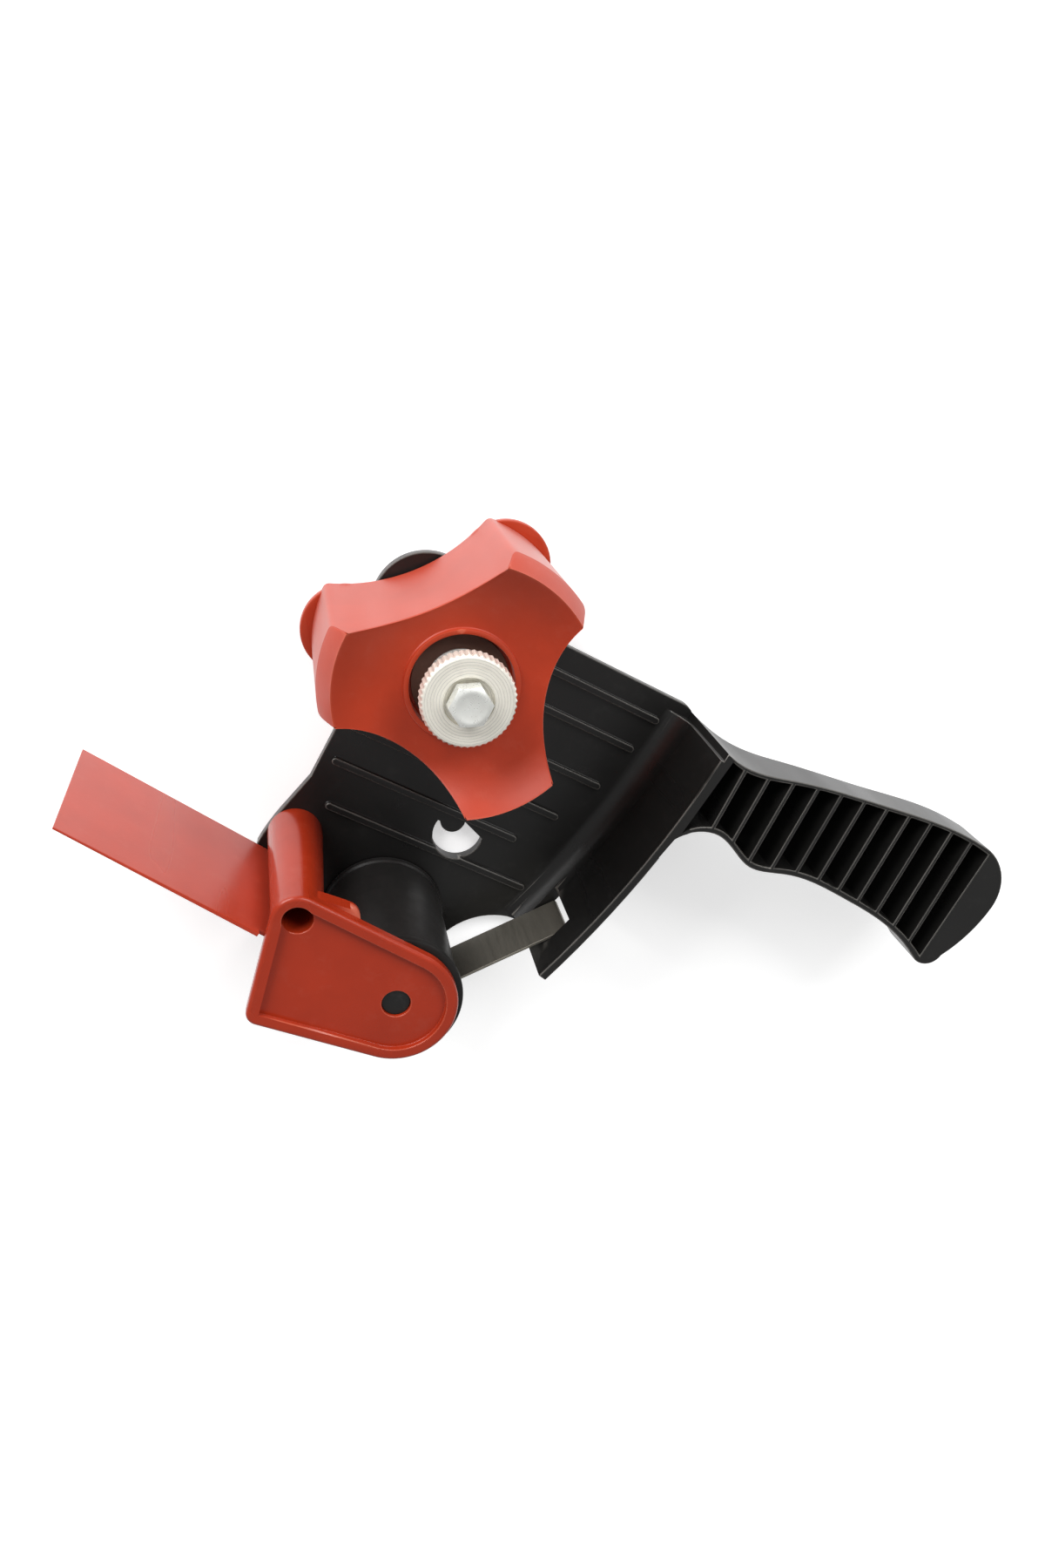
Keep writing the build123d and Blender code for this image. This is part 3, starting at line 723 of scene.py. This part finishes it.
def refined(
    frame: Frame, node: str, body: Body, finish: Finish, edge: float,
    angle: float = SHARP_ANGLE, segments: int = 2,
) -> None:
    """Puts a merged copy of a CAD node, with broken edges, in that node's place.

    Args:
        node: The CAD node.
        body: The body it rides on.
        finish: Its finish.
        edge: Width of the broken edges in millimetres.
        angle: Edges sharper than this many degrees are broken.
        segments: Faces across a broken edge.
    """
    mesh = frame["nodes"][node].data.copy()
    piece = bpy.data.objects.new(f"{node}_finished", mesh)
    bpy.context.scene.collection.objects.link(piece)
    alone(piece)
    bpy.ops.object.mode_set(mode="EDIT")
    bpy.ops.mesh.select_all(action="SELECT")
    bpy.ops.mesh.remove_doubles(threshold=CAD_WELD)
    bpy.ops.mesh.dissolve_limited(angle_limit=math.radians(LEVEL_ANGLE))
    bpy.ops.object.mode_set(mode="OBJECT")
    break_edges(piece, edge, angle, segments)
    place(piece, finish, body, node)


@dataclass
class Rings:
    """Rings round the Z axis with one point for each direction of an outline in plan."""

    plan: list[Flat]
    made: list[list[Point]] = field(default_factory=list)
    reach: list[float] = field(init=False)

    def __post_init__(self) -> None:
        """Measures how far the outline reaches in each direction."""
        self.reach = [math.hypot(x, y) for x, y in self.plan]

    def add(self, radii: list[float] | float, heights: list[float] | float) -> None:
        """Adds a ring.

        Args:
            radii: Its radius in each direction, or one radius for all.
            heights: Its height in each direction, or one height for all.
        """
        count = len(self.plan)
        radii = radii if isinstance(radii, list) else [radii] * count
        heights = heights if isinstance(heights, list) else [heights] * count
        self.made.append([
            (x / reach * radius, y / reach * radius, height)
            for (x, y), reach, radius, height in zip(self.plan, self.reach, radii, heights)
        ])


# The tool's sub-assemblies


@dataclass
class HubAssembly:
    """Three-lobed hub, its bearing and the brake that slows it."""

    frame: Frame
    # hub: radii and heights; dish_middle and counterbore are a radius and a height,
    # and each step of rim_line is an inset, the largest radius and a drop
    radius: float = 37.5
    waist: float = 22.2
    lobe_half: float = 19.0
    lobe_angles: tuple[float, ...] = (78.8, 198.8, 318.8)
    lobe_steps: int = 24
    side_steps: int = 40
    side_levels: tuple[float, ...] = (18.0, 30.0, 42.0)
    corner: float = 1.4
    inner_corner: float = 0.8
    rear: float = 5.3
    taper_start: float = 50.0
    front: float = 57.4
    nose: float = 34.1
    dish: float = 48.6
    rim_inset: float = 0.55
    rim_line: tuple[Point, ...] = (
        (0.65, 35.6, 0.0), (0.75, 34.5, 0.0), (0.85, 34.1, 0.14), (0.95, 33.6, 0.0))
    dish_middle: Flat = (24.6, 50.9)
    dish_shares: tuple[float, ...] = (0.12, 0.25, 0.4, 0.55, 0.7, 0.85, 0.95)
    collar: float = 15.3
    recess: float = 13.9
    recess_floor: float = 44.0
    bore: float = 5.05
    counterbore: Flat = (14.2, 15.1)
    wall: float = 2.6
    front_wall: float = 3.0
    web_half: float = 1.0
    web_run: Flat = (2.0, 40.0)
    ear_radius: float = 13.0
    ear_reach: float = 41.0
    ear_top: float = 7.9
    sides: int = 96
    # spring: round wire
    spring_bottom: float = 45.9
    spring_top: float = 55.3
    wire: float = 1.1
    coil: float = 6.0
    coils: int = 3
    coil_steps: int = 150
    wire_sides: int = 14
    travel: float = 2.5
    # nut: pocket is a radius and a depth, line the radii of a groove turned in the face
    nut_bore: float = 3.05
    nut_radius: float = 12.4
    nut_bottom: float = 56.5
    nut_face: float = 62.5
    pocket: Flat = (6.5, 1.8)
    knurls: int = 48
    knurl_depth: float = 0.42
    line: tuple[float, float, float, float] = (9.6, 9.4, 9.2, 9.0)
    line_depth: float = 0.12
    # bolt: plain is the stretch inside the hub, where the thread is left out
    flats: float = 10.0
    head_bottom: float = 62.0
    head_top: float = 67.0
    shank: float = 3.0
    shank_bottom: float = 2.0
    thread_root: float = 2.72
    pitch: float = 0.8
    plain: Flat = (12.0, 46.0)
    bolt_sides: int = 144

    def outline(self, radius: float, waist: float, corner: float) -> list[Flat]:
        """Lobes and hollow sides with rounded corners, once round in plan.

        Args:
            radius: Radius of the lobes.
            waist: Distance of the hollow sides from the axis.
            corner: Length taken by each rounded corner.

        Returns:
            The points in millimetres.
        """
        half = math.radians(self.lobe_half)
        turn = math.radians(60)  # from the middle of a lobe to the middle of a side
        edge = Vector((radius * math.cos(turn - half), radius * math.sin(turn - half)))
        far = (edge.length_squared - waist * waist) / (2 * (edge.x - waist))
        sweep = math.atan2(edge.y, far - edge.x)
        trim, ease = corner / radius, corner / (far - waist)
        lobe = []
        for i in range(self.lobe_steps + 1):
            a = -half + trim + (2 * half - 2 * trim) * i / self.lobe_steps
            lobe.append(Vector((radius * math.cos(a), radius * math.sin(a))))
        side = []
        for i in range(self.side_steps + 1):
            a = -sweep + ease + (2 * sweep - 2 * ease) * i / self.side_steps
            spot = Vector((far - (far - waist) * math.cos(a), (far - waist) * math.sin(a)))
            side.append(Matrix.Rotation(turn, 2) @ spot)
        tip = Vector((radius * math.cos(half), radius * math.sin(half)))
        next_tip = Matrix.Rotation(2 * turn - 2 * half, 2) @ tip
        next_lobe = Matrix.Rotation(2 * turn, 2) @ lobe[0]
        third = lobe + self.bend(lobe[-1], tip, side[0])
        third += side + self.bend(side[-1], next_tip, next_lobe)
        return [
            tuple(Matrix.Rotation(math.radians(angle), 2) @ spot)
            for angle in self.lobe_angles for spot in third
        ]

    @staticmethod
    def bend(start: Vector, corner: Vector, end: Vector) -> list[Vector]:
        """Points between two ends that cut a corner in a smooth bend."""
        return [
            start * (1 - t) ** 2 + corner * 2 * t * (1 - t) + end * t * t
            for t in (0.2, 0.4, 0.6, 0.8)
        ]

    def crown(self, radius: float) -> float:
        """Height of the hub's front at a radius: a cone outside, a parabola within."""
        if radius >= self.nose:
            slope = (self.front - self.taper_start) / (self.radius - self.nose)
            return self.front - (radius - self.nose) * slope
        spots = ((self.nose, self.front), self.dish_middle, (self.collar, self.dish))
        height = 0.0
        for x, y in spots:
            share = y
            for other, _ in spots:
                if other != x:
                    share *= (radius - other) / (x - other)
            height += share
        return height

    def rear_and_sides(self, shell: Rings) -> None:
        """Adds the counterbore, the flat back, its rounded edge and the sides."""
        shell.add(self.bore, self.counterbore[1])
        shell.add(self.counterbore[0], self.counterbore[1])
        shell.add(self.counterbore[0], self.rear)
        for inset, rise in REAR_EDGE:
            shell.add([r - inset for r in shell.reach], self.rear + rise)
        for level in self.side_levels:
            shell.add(shell.reach, level)

    def rim(self, shell: Rings) -> list[float]:
        """Adds the rounded front edge and the fine line between cone and dish.

        Args:
            shell: The hub's rings.

        Returns:
            The radius in each direction from which the dish goes on.
        """
        for inset, drop in FRONT_EDGE:
            shell.add([r - inset for r in shell.reach],
                      [self.crown(r) - drop for r in shell.reach])
        inner = [r - self.rim_inset for r in shell.reach]
        shell.add(inner, [self.crown(r) for r in inner])
        for inset, limit, drop in self.rim_line:
            inner = [min(r - inset, limit) for r in shell.reach]
            heights = [
                self.crown(r) - (drop if full - inset > limit else 0.0)
                for r, full in zip(inner, shell.reach)
            ]
            shell.add(inner, heights)
        return inner

    def dish_and_collar(self, shell: Rings, start: list[float]) -> None:
        """Adds the dish, the rounded collar and the recess inside it.

        Args:
            shell: The hub's rings.
            start: The radius in each direction at which the dish begins.
        """
        for share in self.dish_shares:
            radii = [r + (self.collar + 0.4 - r) * share for r in start]
            shell.add(radii, [self.crown(r) for r in radii])
        for radius, height in (
            (self.collar + 0.35, self.dish + 0.04), (self.collar + 0.08, self.dish + 0.25),
            (self.collar, self.dish + 0.6), (self.collar - 0.1, self.dish + 0.9),
            (self.collar - 0.35, self.dish + 1.0), (self.recess + 0.35, self.dish + 1.0),
            (self.recess + 0.08, self.dish + 0.9), (self.recess, self.dish + 0.6),
            (self.recess, self.recess_floor + 0.3), (self.recess - 0.3, self.recess_floor),
            (self.bore, self.recess_floor),
        ):
            shell.add(radius, height)

    def hub(self) -> None:
        """Models the hub: dished front over its lobes, ears and a hollow webbed back."""
        shell = Rings(self.outline(self.radius, self.waist, self.corner))
        self.rear_and_sides(shell)
        start = self.rim(shell)
        self.dish_and_collar(shell, start)
        hub = skin("tape_hub_finished", shell.made, looped=True)
        for angle in self.lobe_angles:
            combine(hub, self.ear(math.radians(angle)), Merge.JOIN)
        combine(hub, self.hollow())
        break_edges(hub)
        place(hub, HUB_PLASTIC, Body.HUB, "tape_hub")

    def ear(self, angle: float) -> bpy.types.Object:
        """A round-edged ear on the back of one lobe."""
        out = self.ear_reach - self.ear_radius
        centre = (out * math.cos(angle), out * math.sin(angle))
        steps = [(inset, self.rear + rise) for inset, rise in REAR_EDGE]
        steps += [(inset, self.ear_top - drop) for inset, drop in EAR_EDGE]
        return skin("ear", [
            circle(self.ear_radius - inset, z, self.sides, centre) for inset, z in steps
        ])

    def hollow(self) -> bpy.types.Object:
        """The cutter for the hub's back, less its bearing tube and webs."""
        low, high = self.rear - PAST, self.recess_floor - self.front_wall
        inner = self.outline(self.radius - self.wall, self.waist - self.wall, self.inner_corner)
        cutter = prism("hollow", inner, low, high)
        tube = self.bore + self.wall
        ends = (low - PAST, high + PAST)
        combine(cutter, skin("tube", [circle(tube, z, self.sides) for z in ends]))
        (near, far), half = self.web_run, self.web_half
        for angle in self.lobe_angles:
            along = Vector((math.cos(math.radians(angle)), math.sin(math.radians(angle))))
            across = Vector((-along.y, along.x))
            corners = [
                tuple(along * x + across * y)
                for x, y in ((near, -half), (far, -half), (far, half), (near, half))
            ]
            combine(cutter, prism("web", corners, *ends))
        return cutter

    def nut(self) -> None:
        """Models the brake nut: straight knurl, turned face and a pocket for the head."""
        rim, low, high = self.nut_radius, self.nut_bottom, self.nut_face
        pocket, depth = self.pocket
        cut = high - self.line_depth
        steps = (  # radius, height and depth of the knurl there
            (self.nut_bore, low, 0.0), (rim - 1.2, low, 0.0), (rim - 0.75, low + 0.15, 0.0),
            (rim - 0.2, low + 0.6, 0.6), (rim, low + 1.1, 1.0), (rim, high - 1.1, 1.0),
            (rim - 0.2, high - 0.6, 0.7), (rim - 0.75, high - 0.15, 0.0),
            (rim - 1.2, high, 0.0), (self.line[0], high, 0.0), (self.line[1], cut, 0.0),
            (self.line[2], cut, 0.0), (self.line[3], high, 0.0),
            (pocket + 0.3, high, 0.0), (pocket + 0.05, high - 0.1, 0.0),
            (pocket, high - 0.3, 0.0), (pocket, high - depth, 0.0),
            (self.nut_bore, high - depth, 0.0),
        )
        rings = []
        for radius, height, share in steps:
            ring = []
            for i, (x, y, z) in enumerate(circle(1.0, height, self.knurls * len(KNURL))):
                out = radius - self.knurl_depth * share * KNURL[i % len(KNURL)]
                ring.append((x * out, y * out, z))
            rings.append(ring)
        nut = skin("brake_nut_finished", rings, looped=True)
        break_edges(nut)
        place(nut, NUT_PLATING, Body.NUT, "brake_nut")

    def bolt(self) -> None:
        """Models the hexagon bolt: chamfered, slightly sunk head and a threaded shank."""
        count, flat = self.bolt_sides, self.flats / 2
        fall_start, fall_slope = 4.5, 0.58  # the chamfer of the head's corners

        def hexagon(inset: float, height: float, chamfer: bool = False) -> list[Point]:
            """A hexagon's ring; a chamfered one falls away towards its corners."""
            ring = []
            for i in range(count):
                angle = 2 * math.pi * i / count
                near = (angle + math.pi / 6) % (math.pi / 3) - math.pi / 6
                out = (flat - inset) / math.cos(near)
                fall = fall_slope * (out - fall_start) if chamfer else 0.0
                ring.append((out * math.cos(angle), out * math.sin(angle), height - fall))
            return ring

        end, shank, root = self.shank_bottom, self.shank, self.thread_root
        steps = [(1.0, end), (2.4, end), (shank, end + 0.6)]
        level = end + 1.0
        while level < self.head_bottom - 1.0:
            if not self.plain[0] <= level <= self.plain[1]:
                steps += [(shank, level), (root, level + 0.25), (root, level + 0.4)]
            level += self.pitch
        steps.append((shank, self.head_bottom))
        rings = [circle(radius, height, count) for radius, height in steps]
        rings.append(hexagon(0.15, self.head_bottom))
        rings.append(hexagon(0.0, self.head_bottom + 0.15))
        rings.append(hexagon(0.0, self.head_top - 0.04, True))
        rings += [
            circle(4.44, self.head_top - 0.03, count), circle(4.2, self.head_top, count),
            circle(3.7, self.head_top, count), circle(3.3, self.head_top - 0.22, count),
            circle(0.8, self.head_top - 0.26, count),
        ]
        bolt = skin("hub_bolt_finished", rings)
        break_edges(bolt)
        place(bolt, STEEL, Body.TOOL, "hub_bolt")

    def spring(self) -> None:
        """Models the brake spring: round wire wound in three open coils."""
        steps, sides = self.coil_steps, self.wire_sides
        bottom = self.spring_bottom + self.wire / 2
        rise = self.spring_top - self.spring_bottom - self.wire
        rings = []
        for i in range(steps + 1):
            turn = 2 * math.pi * self.coils * i / steps
            middle = Vector((self.coil * math.cos(turn), self.coil * math.sin(turn),
                             bottom + rise * i / steps))
            out = Vector((math.cos(turn), math.sin(turn), 0))
            rings.append([
                tuple(middle + (out * math.cos(a) + Vector((0, 0, math.sin(a)))) * self.wire / 2)
                for a in (2 * math.pi * k / sides for k in range(sides))
            ])
        spring = skin("brake_spring_finished", rings)
        break_edges(spring)
        place(spring, SPRING_STEEL, Body.TOOL, "brake_spring")
        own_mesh(spring)

    def build(self) -> None:
        """Builds the hub, its brake and its bearing pieces."""
        self.hub()
        self.nut()
        self.bolt()
        self.spring()
        for node, body, finish in (
            ("hub_sleeve", Body.TOOL, STEEL), ("rear_thrust_washer", Body.TOOL, NYLON),
            ("front_friction_washer", Body.TOOL, FIBRE), ("spring_seat", Body.TOOL, STEEL),
            ("pressure_washer", Body.THRUST, STEEL), ("rear_washer", Body.TOOL, STEEL),
            ("rear_lock_nut", Body.TOOL, STEEL),
        ):
            refined(self.frame, node, body, finish, 0.12)


@dataclass
class RollerAssembly:
    """Rubber-sleeved roller on its webbed core."""

    frame: Frame
    centre: Flat = (23.3, -86.0)
    core: float = 16.0
    sleeve: float = 18.0
    lip: float = 18.8
    low: float = 4.1
    high: float = 56.9
    seams: tuple[float, ...] = (16.0, 24.0, 30.5, 37.0, 45.0)
    seam_half: float = 0.3
    seam_depth: float = 0.06
    sides: int = 160

    def rubber(self) -> None:
        """Models the sleeve with a rounded lip at each end and a few moulding rings."""
        half = [
            (self.core, 0.0), (self.core + 0.5, 0.0), (self.lip - 0.6, 0.0),
            (self.lip - 0.18, 0.18), (self.lip, 0.6), (self.lip, 2.0), (self.lip - 0.1, 2.3),
            (self.sleeve + 0.1, 2.75), (self.sleeve, 3.1),
        ]
        steps = [(r, self.low + z) for r, z in half]
        for level in self.seams:
            steps += [(self.sleeve, level - self.seam_half),
                      (self.sleeve - self.seam_depth, level),
                      (self.sleeve, level + self.seam_half)]
        steps += [(r, self.high - z) for r, z in reversed(half)]
        rings = [circle(r, z, self.sides, self.centre) for r, z in steps]
        sleeve = skin("roller_sleeve_finished", rings, looped=True)
        break_edges(sleeve)
        place(sleeve, ROLLER_RUBBER, Body.ROLLER, "roller_sleeve")

    def build(self) -> None:
        """Builds the roller."""
        self.rubber()
        refined(self.frame, "roller_core", Body.ROLLER, ROLLER_PLASTIC, 0.2)


@dataclass
class FlapAssembly:
    """Wiping flap on its pin."""

    frame: Frame
    pivot: Flat = (-11.6, -83.8)
    angle: float = 172.9
    reach: float = 66.6
    shoulder: float = 8.8
    offset: float = 1.4
    thickness: float = 1.2
    tip_thickness: float = 0.7
    low: float = 3.9
    high: float = 59.5
    root_high: float = 57.1
    bead: float = 2.1
    neck: Flat = (3.4, 2.0)
    hole: float = 1.06
    hole_sides: int = 32
    sections: int = 24
    margin: float = 20.0

    def spot(self, along: float, across: float) -> Flat:
        """A point of the flap's own frame in plan: along it, and towards the bar."""
        turn = math.radians(self.angle)
        x = self.pivot[0] + along * math.cos(turn) + across * math.sin(turn)
        y = self.pivot[1] + along * math.sin(turn) - across * math.cos(turn)
        return (x, y)

    def leaf(self) -> bpy.types.Object:
        """The thin sheet, as sections along its length with rounded edges."""
        start = self.shoulder - 0.6
        low, high = self.low, self.high
        rings = []
        for i in range(self.sections + 1):
            share = i / self.sections
            along = start + (self.reach - start) * share
            half = (self.thickness + (self.tip_thickness - self.thickness) * share) / 2
            side = [(-half, low + 0.3), (-half, low + self.margin), (-half, high - self.margin),
                    (-half, high - 0.3), (-half + 0.12, high - 0.04)]
            section = side + [(0.0, high)] + [(-across, z) for across, z in reversed(side)]
            section += [(half - 0.12, low + 0.04), (0.0, low), (-half + 0.12, low + 0.04)]
            rings.append([
                (*self.spot(along, self.offset + across), z) for across, z in section
            ])
        return skin("wiper_flap_finished", rings)

    def root(self) -> bpy.types.Object:
        """The thicker root with the bead that turns on the pin."""
        half = self.thickness / 2
        bead = [
            (self.bead * math.cos(math.radians(a)), self.bead * math.sin(math.radians(a)))
            for a in range(90, 316, 9)
        ]
        outline = bead + [
            (self.neck[0], self.offset - half), (self.shoulder, self.offset - half),
            (self.shoulder, self.offset + half), (self.neck[1], self.offset + half),
        ]
        low, high = self.low + 0.3, self.root_high
        root = prism("root", [self.spot(*p) for p in outline], low, high)
        ends = (low - PAST, high + PAST)
        drill = [circle(self.hole, z, self.hole_sides, self.pivot) for z in ends]
        combine(root, skin("drill", drill))
        return root

    def build(self) -> None:
        """Builds the flap and its pin."""
        flap = self.leaf()
        combine(flap, self.root(), Merge.JOIN)
        break_edges(flap)
        place(flap, FLAP_PLASTIC, Body.FLAP, "wiper_flap")
        refined(self.frame, "flap_pin", Body.TOOL, STEEL, 0.1)


@dataclass
class FrontAssembly:
    """Bracket with its screws, cutting blade and tape tongue."""

    frame: Frame

    def build(self) -> None:
        """Refines the bracket and the steel pieces on it."""
        refined(self.frame, "front_bracket", Body.TOOL, BRACKET_PLASTIC, 0.3)
        refined(self.frame, "bracket_screws", Body.TOOL, STEEL, 0.12)
        refined(self.frame, "cutting_blade", Body.TOOL, BLADE_STEEL, 0.05,
                angle=50.0, segments=1)
        refined(self.frame, "blade_screws", Body.TOOL, STEEL, 0.1)
        refined(self.frame, "tape_tongue", Body.TOOL, TONGUE_STEEL, 0.12)
        refined(self.frame, "tongue_rivets", Body.TOOL, STEEL, 0.25, segments=3)


@dataclass
class FrameAssembly:
    """Side plate, rear wall and ribbed grip, one moulding."""

    frame: Frame

    def build(self) -> None:
        """Refines the moulding."""
        refined(self.frame, "frame_body", Body.TOOL, FRAME_PLASTIC, 0.35)


@dataclass(frozen=True)
class Lamp:
    """A square area lamp: where it hangs, its side in metres and its power in watts."""

    name: str
    spot: Point
    size: float
    power: float

    def build(self, aim: Point) -> None:
        """Hangs the lamp.

        Args:
            aim: The point that it is turned to.
        """
        data = bpy.data.lights.new(self.name, "AREA")
        data.shape = "SQUARE"
        data.size = self.size
        data.energy = self.power
        lamp = bpy.data.objects.new(self.name, data)
        lamp.location = self.spot
        down = Vector(aim) - Vector(self.spot)
        lamp.rotation_euler = down.to_track_quat("-Z", "Y").to_euler()
        bpy.context.scene.collection.objects.link(lamp)


@dataclass
class Studio:
    """Camera at the photograph's viewpoint, pale floor and soft lamps."""

    eye: Point = (-0.08603, 0.07380, 0.37422)
    forward: Point = (0.31848, -0.25554, -0.91284)
    up: Point = (-0.39021, 0.84226, -0.37193)
    lens: float = 30.531
    white: Color = (0.9, 0.9, 0.9)
    glow: float = 0.45
    floor_size: float = 6.0
    floor_level: float = -0.0001
    sky: float = 0.44
    aim: Point = (0.04, -0.02, 0.02)
    lamps: tuple[Lamp, ...] = (
        Lamp("key", (-0.95, 0.45, 0.5), 0.7, 12.5),
        Lamp("top", (0.1, 0.9, 0.7), 0.6, 7.0),
    )

    def camera(self) -> None:
        """Places the camera."""
        data = bpy.data.cameras.new("photo_camera")
        data.sensor_fit = "VERTICAL"
        data.sensor_height = 36.0
        data.lens = self.lens
        data.clip_start = 0.01
        ahead = Vector(self.forward).normalized()
        right = ahead.cross(Vector(self.up)).normalized()
        top = right.cross(ahead)
        turn = Matrix((right, top, -ahead)).transposed().to_4x4()
        camera = bpy.data.objects.new("photo_camera", data)
        camera.matrix_world = Matrix.Translation(self.eye) @ turn
        bpy.context.scene.collection.objects.link(camera)
        bpy.context.scene.camera = camera

    def floor(self) -> None:
        """Lays a wide pale floor that shows as white and keeps a light shadow."""
        bpy.ops.object.select_all(action="DESELECT")
        bpy.ops.mesh.primitive_plane_add(
            size=self.floor_size, location=(0, 0, self.floor_level))
        floor = bpy.context.active_object
        floor.name = "floor"
        floor.data.transform(floor.matrix_world)
        floor.matrix_world = Matrix.Identity(4)
        g = Graph("pale_floor")
        g.give("Base Color", self.white)
        g.give("Roughness", 0.9)
        g.give("Specular IOR Level", 0.1)
        path = g.add("ShaderNodeLightPath", {}).outputs
        seen = g.add("ShaderNodeMath", {0: path["Is Camera Ray"], 1: path["Is Glossy Ray"]},
                     operation="MAXIMUM").outputs["Value"]
        shown = g.ramp(seen, 0.0, 1.0, 0.0, self.glow)
        glow = g.add("ShaderNodeEmission", {"Strength": shown}).outputs["Emission"]
        both = g.add("ShaderNodeAddShader", {0: g.shader.outputs["BSDF"], 1: glow})
        g.join(both.outputs["Shader"], g.output.inputs["Surface"])
        floor.data.materials.append(g.material)

    def world(self) -> None:
        """Surrounds the set with even white light."""
        world = bpy.data.worlds.new("studio")
        world.use_nodes = True
        sky = world.node_tree.nodes["Background"]
        sky.inputs["Color"].default_value = (1, 1, 1, 1)
        sky.inputs["Strength"].default_value = self.sky
        bpy.context.scene.world = world

    def build(self) -> None:
        """Sets up the studio."""
        bpy.context.scene.view_settings.view_transform = "Standard"
        self.camera()
        self.floor()
        self.world()
        for lamp in self.lamps:
            lamp.build(self.aim)
        log.info("studio ready")


def main() -> None:
    """Builds the tape dispenser's looks and its studio."""
    logging.basicConfig(level=logging.INFO, format="%(name)s: %(message)s")
    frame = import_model()
    Studio().build()
    FrameAssembly(frame).build()
    HubAssembly(frame).build()
    RollerAssembly(frame).build()
    FlapAssembly(frame).build()
    FrontAssembly(frame).build()


if __name__ == "__main__":
    main()
